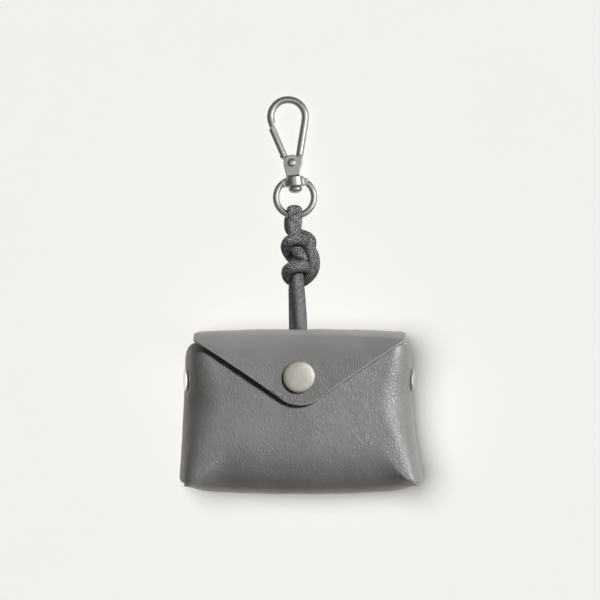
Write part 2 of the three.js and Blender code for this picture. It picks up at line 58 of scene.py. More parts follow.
# %% The camera over the table
EYE_HEIGHT = 0.650
EYE_Y = 0.0437
SENSOR_MM = 36
LENS_MM = 97.5
camera_data = bpy.data.cameras.new("camera")
camera_data.sensor_width = SENSOR_MM
camera_data.lens = LENS_MM
camera = bpy.data.objects.new("camera", camera_data)
camera.location = (0, EYE_Y, EYE_HEIGHT)
scene.collection.objects.link(camera)
scene.camera = camera
print("camera at", tuple(camera.location), "lens", camera_data.lens)

# %% [markdown]
# ## The cord's route
# One length of cord leaves the hole in the spine, goes up through the knot, round the swivel ring and back
# down through the knot into the same hole. A simulation could pull such a knot tight, but it would not end
# in this very knot, so the route is a list of points given one by one, in millimetres.

# %% Points along the cord
BACK_TAIL = [(-2.2, 49.3, 5.4), (-2.2, 42, 6), (-2.1, 36, 7.1), (-2, 30.1, 7.5), (-1.8, 28.2, 7.9)]
BACK_STRAND = [
    (-3.5, 72.2, 2.1), (-1.8, 70.6, 2.4), (0.8, 69.4, 4), (3.2, 68.2, 7.4), (4.2, 66.4, 9.6),
    (4, 64, 10.4), (5.2, 61, 10.4), (5.6, 57.9, 9.9), (4.9, 55, 8.4), (3.2, 52.8, 5.6), (1.2, 51.4, 3),
    (-1, 51, 2.4), (-3.4, 51.6, 3.2), (-4.8, 53.2, 6.2), (-4.9, 55.2, 9.6), (-3.4, 56.4, 12),
    (-0.8, 56.9, 12.6), (1.8, 57, 10.6), (3.4, 55.6, 6.6), (0.6, 54.9, 5.4), (-1.6, 53, 5.2),
]
RING_TURN = [
    (-3.5, 73.3, 2.1), (-3.4, 75.4, 1.7), (-2.7, 77.6, 1.7), (-2.4, 79.8, 3.2),
    (-2.1, 79.8, 6), (-1.9, 77.6, 7.5), (-2, 75.4, 7.6), (-2.1, 73.3, 7.5),
]
FRONT_STRAND = [
    (-2.1, 71.5, 7.5), (-2.1, 69.8, 7.2), (-2.6, 67.2, 6.6), (-2.3, 64.7, 7.4), (-0.2, 62.4, 8.9),
    (2.3, 60.5, 8.6), (4.2, 58.9, 6), (4.6, 57.2, 3.2), (1.6, 56.6, 2.4), (-1.6, 58.9, 2.4),
    (-4.1, 61.7, 2.8), (-5.2, 63.9, 5.8), (-5.1, 65.8, 9), (-3.6, 67.2, 11.2), (-1.2, 67.7, 11.5),
    (1, 67, 9.6), (2.3, 65.4, 6.2), (1.6, 63.3, 4.4), (0, 61.1, 4.6), (-1.2, 58.7, 6.2),
    (-1.4, 56.2, 8.4), (-1, 53.2, 9),
]
FRONT_TAIL = [(-0.6, 49.3, 9), (0, 42, 9.8), (0.4, 36, 10.7), (0.5, 30.1, 11), (0.3, 28.2, 10.8)]
CORD_POINTS = [*BACK_TAIL[::-1], *BACK_STRAND[::-1], *RING_TURN, *FRONT_STRAND, *FRONT_TAIL]
print(len(CORD_POINTS), "points on the cord's route")

# %% [markdown]
# A smooth line through the points comes from a Catmull-Rom spline, spaced by the square root of each
# gap so that it does not overshoot in the tight turns. It is then cut into equal steps.

# %% From points to an even line
SPLINE_STEPS = 24
CORD_STEP = 0.22


def length(vectors):
    return np.linalg.norm(vectors, axis=-1)


def run_along(line):
    return np.concatenate([[0], np.cumsum(length(np.diff(line, axis=0)))])


def smooth_line(points, step):
    points = np.asarray(points, float)
    ends = np.vstack([2 * points[0] - points[1], points, 2 * points[-1] - points[-2]])
    u = np.linspace(0, 1, SPLINE_STEPS, endpoint=False)[:, None]
    pieces = []
    for before, start, end, after in zip(ends, ends[1:], ends[2:], ends[3:]):
        behind, here, ahead = length(np.diff([before, start, end, after], axis=0)) ** 0.5
        leave = end - start + here * ((start - before) / behind - (end - before) / (behind + here))
        arrive = end - start + here * ((after - end) / ahead - (after - start) / (here + ahead))
        pieces.append(
            (2 * u**3 - 3 * u**2 + 1) * start + (u**3 - 2 * u**2 + u) * leave
            + (3 * u**2 - 2 * u**3) * end + (u**3 - u**2) * arrive
        )
    fine = np.vstack([*pieces, points[-1:]])
    run = run_along(fine)
    at = np.linspace(0, run[-1], max(2, round(run[-1] / step) + 1))
    return np.stack([np.interp(at, run, fine[:, k]) for k in range(3)], axis=1), at


cord_line, cord_run = smooth_line(CORD_POINTS, CORD_STEP)
print("cord length in mm:", round(cord_run[-1], 1), "in", len(cord_line), "steps")

# %% [markdown]
# A tube needs two axes across the line at each step. They are carried along without twisting, so the
# braid on the tube does not wring where the line turns over itself.

# %% Axes carried along a line
def unit(vectors):
    return vectors / np.linalg.norm(vectors, axis=-1, keepdims=True)


def carried_axes(line):
    along = unit(np.gradient(line, axis=0))
    side = np.empty_like(line)
    side[0] = unit(np.cross(along[0], (0.0, 0.0, 1.0)))
    for i in range(1, len(line)):
        side[i] = unit(side[i - 1] - np.dot(side[i - 1], along[i]) * along[i])
    return side, np.cross(along, side)


def ring_out(line, sides):
    side, up = carried_axes(line)
    angle = np.linspace(0, 2 * math.pi, sides, endpoint=False)[None, :, None]
    return np.cos(angle) * side[:, None] + np.sin(angle) * up[:, None]


cord_axes = carried_axes(cord_line)
print("axes stay square within", float(abs((cord_axes[0] * cord_axes[1]).sum(1)).max()))

# %% [markdown]
# ## The braid
# The cord's cover is braided from many fine yarns, half of them winding each way, each over two and
# under two. A bump could only suggest that, and the outline would stay smooth, so the relief is in the
# mesh: for each point, the height of whichever yarn lies on top there.

# %% Height of a two-over-two braid
YARNS = 16
CROSSING = 0.98
CORD_RADIUS = 2.3
BRAID_RELIEF = 0.34
BRAID_MIDDLE = 0.75
YARN_LEVEL, YARN_SWING = 0.62, 0.38


def braid_height(across, along):
    first, second = across + along, across - along
    heights = []
    for own, other, sign in ((first, second, 1), (second, first, -1)):
        yarn = np.floor(own)
        over = sign * np.cos((other + yarn - 1) * math.pi / 2)
        bulge = np.sqrt(1 - (2 * (own - yarn) - 1) ** 2)
        heights.append(bulge * (YARN_LEVEL + YARN_SWING * over))
    return np.maximum(*heights)


print("yarn width in mm:", round(2 * math.pi * CORD_RADIUS / YARNS, 2))

# %% [markdown]
# A grid of points becomes a mesh with one quad for each cell. The same helper serves every swept or
# turned piece: it closes the grid round its columns, and closes each end with one face.

# %% A mesh from a closed grid of points
def link_mesh(name, points, faces, smooth=True):
    corners = [tuple(p) for p in np.asarray(points).reshape(-1, 3) * MM]
    mesh = bpy.data.meshes.new(name)
    mesh.from_pydata(corners, [], [tuple(int(k) for k in face) for face in faces])
    mesh.validate()
    if smooth:
        mesh.shade_smooth()
    piece = bpy.data.objects.new(name, mesh)
    scene.collection.objects.link(piece)
    return piece


def tube_faces(rows, columns, caps=True):
    cell = np.arange((rows - 1) * columns)
    row, column = cell // columns, cell % columns
    right = (column + 1) % columns
    quads = np.stack([row * columns + column, row * columns + right,
                      (row + 1) * columns + right, (row + 1) * columns + column], axis=1)
    faces = list(quads)
    if caps:
        faces += [np.arange(columns)[::-1], (rows - 1) * columns + np.arange(columns)]
    return faces


print("a tube of 3 rows and 8 columns has", len(tube_faces(3, 8)), "faces")

# %% [markdown]
# Where the cord turns round the ring it is pressed flat: wider along the ring's wire and thinner
# against it. Elsewhere it is round.

# %% The braided tube
CORD_SIDES = 64
RING_LOW = np.array([-2.9, 77.7, 4.6])
FLAT_WIDE, FLAT_THIN = 1.25, 0.6
FLAT_REACH = (4.0, 9.0)


def ramp(value, low, high):
    share = np.clip((value - low) / (high - low), 0, 1)
    return share * share * (3 - 2 * share)


def braided(line, run, sides, radius):
    across, along = np.meshgrid(np.arange(sides) / sides * YARNS, run / CROSSING)
    reach = radius + BRAID_RELIEF * (braid_height(across, along) - BRAID_MIDDLE)
    return ring_out(line, sides) * reach[..., None]


def pressed_flat(line, out):
    flat = (1 - ramp(length(line - RING_LOW), *FLAT_REACH))[:, None]
    along = unit(np.gradient(line, axis=0))
    wide = unit(np.array([1.0, 0, 0]) - along[:, :1] * along)
    for axis, factor in ((wide, FLAT_WIDE), (np.cross(along, wide), FLAT_THIN)):
        part = (out * axis[:, None]).sum(2)
        out = out + (flat * (factor - 1) * part)[..., None] * axis[:, None]
    return line[:, None] + out


cord_grid = pressed_flat(cord_line, braided(cord_line, cord_run, CORD_SIDES, CORD_RADIUS))
cord = link_mesh("cord", cord_grid, tube_faces(len(cord_line), CORD_SIDES))
print("cord faces:", len(cord.data.polygons))

# %% [markdown]
# The material will need to know which yarn it is on, so each corner of the mesh gets a pair of
# coordinates: yarns counted round the cord, and crossings counted along it.

# %% Braid coordinates on the mesh
def braid_map(piece, run, sides):
    layer = piece.data.uv_layers.new(name="braid")
    cell = np.arange((len(run) - 1) * sides)
    row, column = cell // sides, cell % sides
    round_at = np.stack([column, column + 1, column + 1, column], axis=1) * YARNS / sides
    along_at = np.stack([run[row], run[row], run[row + 1], run[row + 1]], axis=1) / CROSSING
    corners = np.zeros((len(piece.data.loops), 2))
    corners[: cell.size * 4] = np.stack([round_at, along_at], axis=2).reshape(-1, 2)
    layer.data.foreach_set("uv", corners.ravel())


braid_map(cord, cord_run, CORD_SIDES)
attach(cord, "pouch")
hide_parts("cord_loop", "cord_knot", "cord_tail_front", "cord_tail_back")
print("braid runs over", round(float(cord_run[-1] / CROSSING)), "crossings")

# %% [markdown]
# ## The stop inside the pouch
# The cord cannot slip out of its hole because it is tied off inside. Nobody sees that knot, so a plain
# three-lobed knot of the same braid stands there, flattened against the spine.

# %% The stop knot
STOP_CENTRE = np.array([-0.75, 27.2, 9.25])
STOP_HALF = np.array([1.75, 1.2, 1.4])
STOP_RADIUS = 1.3
STOP_SIDES = 24
STOP_STEPS = 120
lap = np.linspace(0, 2 * math.pi, STOP_STEPS + 1)
lobes = [np.sin(lap) + 2 * np.sin(2 * lap), -np.sin(3 * lap), np.cos(lap) - 2 * np.cos(2 * lap)]
stop_line = STOP_CENTRE + STOP_HALF * np.stack(lobes, axis=1)
stop_run = run_along(stop_line)
stop_grid = stop_line[:, None] + braided(stop_line, stop_run, STOP_SIDES, STOP_RADIUS)
stop_knot = link_mesh("stop_knot", stop_grid, tube_faces(len(stop_line), STOP_SIDES))
braid_map(stop_knot, stop_run, STOP_SIDES)
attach(stop_knot, "pouch")
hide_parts("cord_stop")
print("stop knot half width in mm:", np.round(np.ptp(stop_grid, axis=(0, 1)) / 2, 1))

# %% [markdown]
# ## The folded leather
# The pouch is one cut of leather, about 1.8 mm thick. Its outer face is laid out panel by panel as
# grids of points: the front, the two side wings that roll over from it, the strip that runs from the
# front under the bottom, up the back and over the spine into the flap, and two tabs inside the wings.
# A cloth simulation would crumple such stiff leather, while a grid that follows each fold keeps the
# soft wide folds along the edges and the tight ones at the corners.

# %% Sizes of the folded box, in millimetres
LEATHER = 1.8
FRONT = {
    "height": 34, "top": 27.8, "middle": 2, "half_x": 36, "half_y": 26, "sink_x": 1.2, "sink_y": 1.0,
    "levels_by": 0.8, "levels": (4, 22),
}
SIDES = {
    -1: {"top": 45.2, "bottom": 47.7, "waist": 0.1, "fold": 19, "corner": 8.5, "high": 11, "round": 2.3},
    1: {"top": 44.4, "bottom": 48.9, "waist": 1.7, "fold": 17, "corner": 7, "high": 10, "round": 2.45},
}
WIDTHS_AT = (-27, 27)
FOLD_TOP = (2, 26)
BOTTOM = {
    "line": -33, "bow": 1.35, "bow_half": 40, "foot": 4, "round": 2.3, "start": -8, "reach": 15,
    "corner_from": 34, "corner_bow": 2.2, "corner_reach": 11,
}
CORNER_Y = -24.2
CORNER_REACH = 32
CORNER_LAP = 1.9
CORNER_TUCK = LEATHER + 0.3
CORNER_OPENS = 3


def mix(a, b, share):
    return a + (b - a) * share


def front_height(x, y):
    level = 1 - FRONT["levels_by"] * ramp(y, *FRONT["levels"])
    sink_x = FRONT["sink_x"] * (x / FRONT["half_x"]) ** 2 * level
    sink_y = FRONT["sink_y"] * (np.minimum(y - FRONT["middle"], 0) / FRONT["half_y"]) ** 2
    return FRONT["height"] - sink_x - sink_y


def base_width(side, y):
    low, high = WIDTHS_AT
    share = (y - low) / (high - low)
    waist = SIDES[side]["waist"] * 4 * share * (1 - share)
    return mix(SIDES[side]["bottom"], SIDES[side]["top"], share) - waist


def fold_start(side, y):
    sizes = SIDES[side]
    width = mix(sizes["corner"], sizes["fold"], ramp(y, CORNER_Y, CORNER_Y + CORNER_REACH))
    return base_width(side, y) - mix(width, sizes["high"], ramp(y, *FOLD_TOP))


def corner_x(side):
    return fold_start(side, np.float64(CORNER_Y))


starts = [round(side * float(fold_start(side, np.float64(0))), 1) for side in SIDES]
print("front folds start at x =", starts)

# %% [markdown]
# Each fold has the section of a rounded square: flat where it leaves the front, upright where it
# reaches the wall. The wings taper and drop towards the back, and their hem stays off the table.

# %% Front and wings
COLUMNS = 72
FRONT_ROWS = 56
WING = {"hem": 2.2, "hem_rise": 4, "hem_from": 0.8, "drop": 15, "drop_power": 1.9, "steps": 30}


def fold_out(angle, roundness):
    return np.sin(angle) ** (2 / roundness)


def fold_up(angle, roundness):
    return np.cos(angle) ** (2 / roundness)


def foot_width(side):
    return base_width(side, np.float64(CORNER_Y)) - CORNER_LAP


def bottom_line(x):
    past = np.maximum(0, abs(x) - BOTTOM["corner_from"]) / BOTTOM["corner_reach"]
    bow = BOTTOM["bow"] * (x / BOTTOM["bow_half"]) ** 2
    return BOTTOM["line"] + bow + BOTTOM["corner_bow"] * past**2


def bottom_start(x):
    corner = np.where(x < 0, corner_x(-1), corner_x(1))
    return mix(BOTTOM["start"], CORNER_Y, ramp(abs(x), corner - BOTTOM["reach"], corner))


def front_panel():
    down, right = np.linspace(0, 1, FRONT_ROWS + 1), np.linspace(0, 1, COLUMNS + 1)
    v, u = np.meshgrid(down, right, indexing="ij")
    side_y = mix(FRONT["top"], CORNER_Y, v)
    x = mix(-fold_start(-1, side_y), fold_start(1, side_y), u)
    y = mix(FRONT["top"], bottom_start(mix(-corner_x(-1), corner_x(1), u)), v)
    return np.stack([x, y, front_height(x, y)], axis=2)


def wing(side, front):
    edge = front[:, -1] if side > 0 else front[:, 0]
    v = np.linspace(0, 1, FRONT_ROWS + 1)[:, None]
    start_x, start_y, start_z = abs(edge[:, :1]), edge[:, 1:2], edge[:, 2:]
    hem = WING["hem"] + WING["hem_rise"] * ramp(v, WING["hem_from"], 1) ** 2
    roundness = SIDES[side]["round"]
    steps = np.linspace(0, 1, WING["steps"] + 1)[None]
    angle = np.arccos((hem / start_z) ** (roundness / 2)) * steps
    low_shift = CORNER_Y - bottom_line(foot_width(side))
    z = start_z * fold_up(angle, roundness)
    drop = WING["drop"] * (1 - z / start_z) ** WING["drop_power"]
    out = fold_out(angle, roundness)
    y = start_y - (1 - v) * drop - v * (low_shift * out - CORNER_TUCK * out**CORNER_OPENS)
    x = mix(start_x, base_width(side, y), out)
    rows = np.stack([side * x, y, z], axis=2)
    rows[:, 0] = edge
    return rows if side > 0 else rows[:, ::-1]


front = front_panel()
print("front and wing grids:", front.shape[:2], wing(1, front).shape[:2])

# %% [markdown]
# The strip under the front is laid row by row across the pouch. At its foot it turns under with a
# small radius, then lies flat on the table as the back, climbs the spine and turns over into the flap.

# %% Bottom, back and spine
BOTTOM_ANGLES = np.linspace(0, math.pi / 2, 31)[1:]
FOOT_ANGLES = np.radians(np.linspace(15, 90, 6))
SPINE = {"line": 32.2, "bow": 1.0, "half": 40.4, "back_fold": 7, "front_fold": 7, "front_rise": 5}
BACK_FOLD_ANGLES = np.radians(np.linspace(0, 90, 9))
SPINE_STEPS = np.linspace(0, 1, 18)[1:-1]
FRONT_FOLD_ANGLES = np.radians(np.linspace(0, 90, 14))
FLAP = {
    "height": 36.9, "tip": 3.75, "tip_radius": 12, "slope": 0.708, "rise": 0.02,
    "sink_x": 0.6, "sink_y": 0.5, "rows": 40,
}
FLAP_STUD = {"x": -0.4, "y": 14.8}
TAB_ROWS = np.linspace(2, 18, 17)
BACK_ROWS = np.concatenate([np.arange(-23.5, 1, 2.5), TAB_ROWS, [20, 22, 24]])


def spine_line(x):
    return SPINE["line"] - SPINE["bow"] * (x / SPINE["half"]) ** 2


def flap_height(x, y):
    along = (y - FLAP_STUD["y"]) / (SPINE["line"] - FLAP_STUD["y"])
    level = FLAP["height"] + FLAP["rise"] * (y - FLAP_STUD["y"])
    return level - FLAP["sink_x"] * (x / SPINE["half"]) ** 2 - FLAP["sink_y"] * along**2


def back_width(side, y):
    return mix(foot_width(side), SPINE["half"], ramp(y, BOTTOM["line"], SPINE["line"]))


def across(left, right):
    return mix(-left, right, np.linspace(0, 1, COLUMNS + 1))


def row_of(x, y, z):
    return np.stack(np.broadcast_arrays(x, y, z), axis=1)


def bottom_rows(front):
    start = front[-1]
    foot_x = across(foot_width(-1), foot_width(1))
    wall_x = across(foot_width(-1) + CORNER_LAP, foot_width(1) + CORNER_LAP)
    rows = []
    for angle in BOTTOM_ANGLES:
        out = fold_out(angle, BOTTOM["round"])
        x = mix(start[:, 0], mix(wall_x, foot_x, out ** (CORNER_OPENS - 1)), out)
        y = mix(start[:, 1], bottom_line(x), out)
        rows.append(row_of(x, y, mix(BOTTOM["foot"], start[:, 2], fold_up(angle, BOTTOM["round"]))))
    for angle in FOOT_ANGLES:
        y = bottom_line(foot_x) + BOTTOM["foot"] * (1 - math.cos(angle))
        rows.append(row_of(foot_x, y, BOTTOM["foot"] * (1 - math.sin(angle))))
    return rows


def back_rows():
    return [row_of(across(back_width(-1, y), back_width(1, y)), y, 0.0) for y in BACK_ROWS]


def spine_rows():
    x = across(SPINE["half"], SPINE["half"])
    rows = []
    for angle in BACK_FOLD_ANGLES:
        y = spine_line(x) - SPINE["back_fold"] * (1 - math.sin(angle))
        rows.append(row_of(x, y, SPINE["back_fold"] * (1 - math.cos(angle))))
    fold_height = flap_height(x, spine_line(x)) - SPINE["front_rise"]
    for share in SPINE_STEPS:
        rows.append(row_of(x, spine_line(x), mix(SPINE["back_fold"], fold_height, share)))
    for angle in FRONT_FOLD_ANGLES:
        forward = SPINE["front_fold"] * (1 - math.cos(angle))
        half = min(SPINE["half"], flap_half(SPINE["line"] - forward))
        x = across(half, half)
        y = spine_line(x) - forward
        rows.append(row_of(x, y, flap_height(x, y) - SPINE["front_rise"] * (1 - math.sin(angle))))
    return rows


print("rows under the front and on the back:", len(bottom_rows(front)), len(back_rows()))

# %% [markdown]
# The flap is a triangle with a round tip. Straight rows would crowd at the tip, so its rows bend more
# and more until the last one is the tip's own arc, and the cells stay near square.

# %% The flap
FLAP_LEAN = math.atan(FLAP["slope"])
TIP_MIDDLE = FLAP["tip"] + FLAP["tip_radius"]
TIP_START = TIP_MIDDLE - FLAP["tip_radius"] * math.cos(FLAP_LEAN)
TIP_HALF = FLAP["tip_radius"] * math.sin(FLAP_LEAN)
TIP_DEPTH = FLAP["tip_radius"] * (1 - math.cos(FLAP_LEAN))


def flap_half(y):
    return (y - TIP_MIDDLE + FLAP["tip_radius"] / math.cos(FLAP_LEAN)) / FLAP["slope"]


def flap_rows():
    start = SPINE["line"] - SPINE["front_fold"]
    share = np.linspace(-1, 1, COLUMNS + 1)
    round_tip = np.sqrt(FLAP["tip_radius"] ** 2 - (share * TIP_HALF) ** 2)
    arc = (round_tip - FLAP["tip_radius"] + TIP_DEPTH) / TIP_DEPTH
    rows = []
    for v in np.linspace(0, 1, FLAP["rows"] + 1)[1:]:
        edge_y = mix(start, TIP_START, v)
        x = share * flap_half(edge_y)
        y = edge_y - TIP_DEPTH * v * arc
        y = y - (1 - ramp(start - y, 0, start - FLAP["tip"])) * (SPINE["line"] - spine_line(x))
        rows.append(row_of(x, y, flap_height(x, y)))
    return rows


print("flap tip at y =", round(float(flap_rows()[-1][COLUMNS // 2, 1]), 2))

# %% [markdown]
# Behind each wing a tab of the back stands up against its inner face, and the side stud goes through
# both. The tab is found from the wing itself: the same point, moved in along the wing's normal.

# %% Tabs inside the wings
TAB = {"bend": 5, "height": 22, "narrow": 0.18, "behind": 2.25, "bend_steps": 8, "steps": 17}
NEARBY = 0.5


def wing_point(side, y, z):
    start_x = fold_start(side, y)
    start_z = front_height(start_x, y)
    roundness = SIDES[side]["round"]
    out = fold_out(np.arccos((z / start_z) ** (roundness / 2)), roundness)
    x = side * mix(start_x, base_width(side, y), out)
    return np.stack(np.broadcast_arrays(x, y, z), axis=-1)


def wing_normal(side, y, z):
    upward = wing_point(side, y, z + NEARBY) - wing_point(side, y, z - NEARBY)
    along = wing_point(side, y + NEARBY, z) - wing_point(side, y - NEARBY, z)
    return unit(-side * np.cross(upward, along))


def tab(side):
    y = TAB_ROWS[:, None]
    middle = TAB_ROWS.mean()

    def behind(z):
        near = middle + (y - middle) * (1 - TAB["narrow"] * z / TAB["height"])
        return wing_point(side, near, z) - TAB["behind"] * wing_normal(side, near, z)

    root = np.stack([side * back_width(side, y), y, 0 * y], axis=-1)
    bend_end = behind(np.full((1, 1), float(TAB["bend"])))
    knee = np.stack([bend_end[..., 0], y, 0 * y], axis=-1)
    t = np.linspace(0, 1, TAB["bend_steps"] + 1)[None, :, None]
    curve = (1 - t) ** 2 * root + 2 * t * (1 - t) * knee + t**2 * bend_end
    upright = behind(np.linspace(TAB["bend"], TAB["height"], TAB["steps"] + 1)[None, 1:])
    rows = np.concatenate([curve, upright], axis=1)
    return rows if side > 0 else rows[:, ::-1]


print("tab grid:", tab(1).shape[:2])

# %% [markdown]
# The panels share their edges. Equal points are welded into one list, so the folded cut is a single
# sheet of four-sided cells. An edge that only one cell uses is a cut edge of the leather.

# %% One sheet from all the panels
WELDS_PER_MM = 500


def welded(grids):
    points, faces, count = [], [], 0
    for grid in grids:
        rows, columns = grid.shape[:2]
        index = count + np.arange(rows * columns).reshape(rows, columns)
        corners = index[:-1, :-1], index[1:, :-1], index[1:, 1:], index[:-1, 1:]
        faces.append(np.stack([c.ravel() for c in corners], axis=1))
        points.append(grid.reshape(-1, 3))
        count += rows * columns
    points, faces = np.vstack(points), np.vstack(faces)
    places = np.round(points * WELDS_PER_MM)
    _, first, same = np.unique(places, axis=0, return_index=True, return_inverse=True)
    return points[first], same.reshape(-1)[faces]


def sheet_normals(points, faces):
    a, b, c, d = (points[faces[:, k]] for k in range(4))
    crossed = np.cross(c - a, d - b)
    normals = np.zeros_like(points)
    for k in range(4):
        np.add.at(normals, faces[:, k], crossed)
    return unit(normals)


def cell_sides(faces):
    return [(int(f[k]), int(f[(k + 1) % 4])) for f in faces for k in range(4)]


def cut_edges(faces):
    edges = set(cell_sides(faces))
    return sorted((a, b) for a, b in edges if (b, a) not in edges)


def nearest_cut(points, faces):
    rim = sorted({a for pair in cut_edges(faces) for a in pair})
    tree = KDTree(len(rim))
    for a in rim:
        tree.insert(points[a], a)
    tree.balance()
    found = [tree.find(p) for p in points]
    return np.array(rim), np.array([a for _, a, _ in found]), np.array([d for _, _, d in found])


strip = np.stack([front[-1], *bottom_rows(front), *back_rows(), *spine_rows(), *flap_rows()])
sheet_points, sheet_faces = welded([front, strip, wing(-1, front), wing(1, front), tab(-1), tab(1)])
print("sheet points and faces:", len(sheet_points), len(sheet_faces))

# %% [markdown]
# Leather rounds off whatever is drawn sharp. The ridges that run into the lower corners are eased by
# moving each point towards the middle of its neighbours, a slow unevenness of a tenth of a millimetre
# or two keeps the panels from looking machined, and the left stud pulls a shallow dent.

# %% Softening the folds
RIDGE = {"reach": (12, 22), "slit": (0.5, 4), "rounds": 30, "pull": 0.5}
SAG = {"depth": 0.16, "length": 11, "lift": (0.2, 3)}
SIDE_STUD = {"y": 12.5, "z": 15.5, "dent": {-1: 0.7, 1: 0.0}, "dent_reach": (3.5, 8.0), "dent_depth": 6}


def from_lower_corner(points):
    corners = [(side * corner_x(side), CORNER_Y, front_height(corner_x(side), CORNER_Y)) for side in SIDES]
    return length(points[:, None] - np.array(corners)).min(axis=1)


def softened_ridges(points, faces):
    near_ridge = 1 - ramp(from_lower_corner(points), *RIDGE["reach"])
    off_slit = ramp(nearest_cut(points, faces)[2], *RIDGE["slit"])
    share = (RIDGE["pull"] * near_ridge * off_slit)[:, None]
    links = np.vstack([faces[:, [k, (k + step) % 4]] for k in range(4) for step in (1, 3)])
    count = np.bincount(links[:, 0], minlength=len(points))[:, None]
    for _ in range(RIDGE["rounds"]):
        total = np.zeros_like(points)
        np.add.at(total, links[:, 0], points[links[:, 1]])
        points = mix(points, total / count, share)
    return points


def uneven(points, normals):
    depth = np.array([noise.fractal(Vector(p) / SAG["length"], 1.0, 2.0, 3) for p in points])
    return points + normals * (SAG["depth"] * depth * ramp(points[:, 2], *SAG["lift"]))[:, None]


def seen_along(outward, points, place):
    height = (points - place) @ outward
    return height, points - place - height[:, None] * outward


def dented(points):
    for side, (place, outward) in side_places.items():
        height, flat = seen_along(outward, points, place)
        near = 1 - ramp(length(flat), *SIDE_STUD["dent_reach"])
        near = near * (abs(height) < SIDE_STUD["dent_depth"])
        points = points - (SIDE_STUD["dent"][side] * near)[:, None] * outward
    return points


stud_at = np.float64(SIDE_STUD["y"]), np.float64(SIDE_STUD["z"])
side_places = {side: (wing_point(side, *stud_at), wing_normal(side, *stud_at)) for side in SIDES}
sheet_points = softened_ridges(sheet_points, sheet_faces)
sheet_points = dented(uneven(sheet_points, sheet_normals(sheet_points, sheet_faces)))
for side, (place, outward) in side_places.items():
    side_places[side] = (place - SIDE_STUD["dent"][side] * outward, outward)
print("side studs at", [np.round(place, 1).tolist() for place, _ in side_places.values()])

# %% [markdown]
# Holes are punched for the studs and the cord. The cells round a hole are taken out, and a ring of new
# faces leads from their ragged border to a true circle.

# %% Punched holes
CORD_HOLE = {"x": -0.75, "z": 9.25, "radius": 4.5}
POST_HOLE = 1.9
HOLE_MARGIN = 0.75
HOLE_DEPTH = 1.6


def punched(points, faces, centre, normal, radius):
    centre, normal = np.asarray(centre, float), unit(np.asarray(normal, float))
    height, flat = seen_along(normal, points, centre)
    inside = (length(flat) < radius + HOLE_MARGIN) & (abs(height) < HOLE_DEPTH)
    gone = inside[faces].any(axis=1)
    kept = set(cell_sides(faces[~gone]))
    border = [(a, b) for a, b in cell_sides(faces[gone]) if (b, a) in kept]
    ring = sorted({a for edge in border for a in edge})
    rise, flat = seen_along(normal, points[ring], centre)
    shrink = radius / length(flat)
    circle = centre + flat * shrink[:, None] + (rise * shrink**2)[:, None] * normal
    new = {a: len(points) + k for k, a in enumerate(ring)}
    collar = np.array([(a, b, new[b], new[a]) for a, b in border])
    return np.vstack([points, circle]), np.vstack([faces[~gone], collar])


stud_x, stud_y = FLAP_STUD["x"], FLAP_STUD["y"]
flap_place = (stud_x, stud_y, flap_height(stud_x, stud_y))
holes = [
    (flap_place, (0, 0, 1), POST_HOLE),
    ((stud_x, stud_y, front_height(stud_x, stud_y)), (0, 0, 1), POST_HOLE),
    ((CORD_HOLE["x"], SPINE["line"], CORD_HOLE["z"]), (0, 1, 0), CORD_HOLE["radius"]),
]
for place, outward in side_places.values():
    holes += [(place, outward, POST_HOLE), (place - TAB["behind"] * outward, outward, POST_HOLE)]
for place, outward, radius in holes:
    sheet_points, sheet_faces = punched(sheet_points, sheet_faces, place, outward, radius)
print("holes punched:", len(holes))

# %% [markdown]
# The sheet gets its thickness from a second face, offset inwards. Along every cut edge the two faces
# are joined by a rounded rim, because a knife edge would catch no light, and a real cut edge does.

# %% Thickness and rounded edges
EDGE = {"round": 0.6, "reach": 2.0, "under": 0.4, "at_corner": 0.2, "corner_reach": (4, 20)}
RIM_ANGLES = np.radians([18, 36, 54, 72, 90])
OUTSIDE, CUT, INSIDE = 0, 1, 2


def away_from_sheet(points, rim, normals):
    outward = np.zeros_like(points)
    for a, b in rim:
        away = unit(np.cross(points[b] - points[a], normals[a] + normals[b]))
        outward[a] += away
        outward[b] += away
    return outward


def rim_profile():
    upper = [(math.sin(a), 1 - math.cos(a), 0.0) for a in RIM_ANGLES]
    lower = [(math.cos(a), 0.0, LEATHER - EDGE["under"] * (1 - math.sin(a))) for a in (0, *RIM_ANGLES[:-1])]
    return upper + lower


def thick_sheet(points, faces):
    normals = sheet_normals(points, faces)
    rim = cut_edges(faces)
    outward = away_from_sheet(points, rim, normals)
    edge, nearest, distance = nearest_cut(points, faces)
    outward[edge] = unit(outward[edge])
    pull = np.clip(1 - distance / EDGE["reach"], 0, 1)[:, None]
    sharpness = mix(EDGE["at_corner"], 1.0, ramp(from_lower_corner(points), *EDGE["corner_reach"]))
    soft = EDGE["round"] * sharpness[:, None]
    points = points - soft * pull * outward[nearest]
    layers = [points, points - LEATHER * normals]
    levels = [np.arange(len(points))]
    for reach, turn, depth in rim_profile():
        level = np.zeros(len(points), int)
        level[edge] = sum(len(layer) for layer in layers) + np.arange(len(edge))
        levels.append(level)
        inward = (soft[edge] * turn + depth) * normals[edge]
        layers.append(points[edge] + soft[edge] * reach * outward[edge] - inward)
    levels.append(np.arange(len(points)) + len(points))
    steps = list(zip(levels, levels[1:]))
    walls = [(upper[b], upper[a], lower[a], lower[b]) for a, b in rim for upper, lower in steps]
    kinds = [OUTSIDE] * len(faces) + [INSIDE] * len(faces) + [CUT] * len(walls)
    return np.vstack(layers), [*faces, *(faces[:, ::-1] + len(points)), *walls], kinds


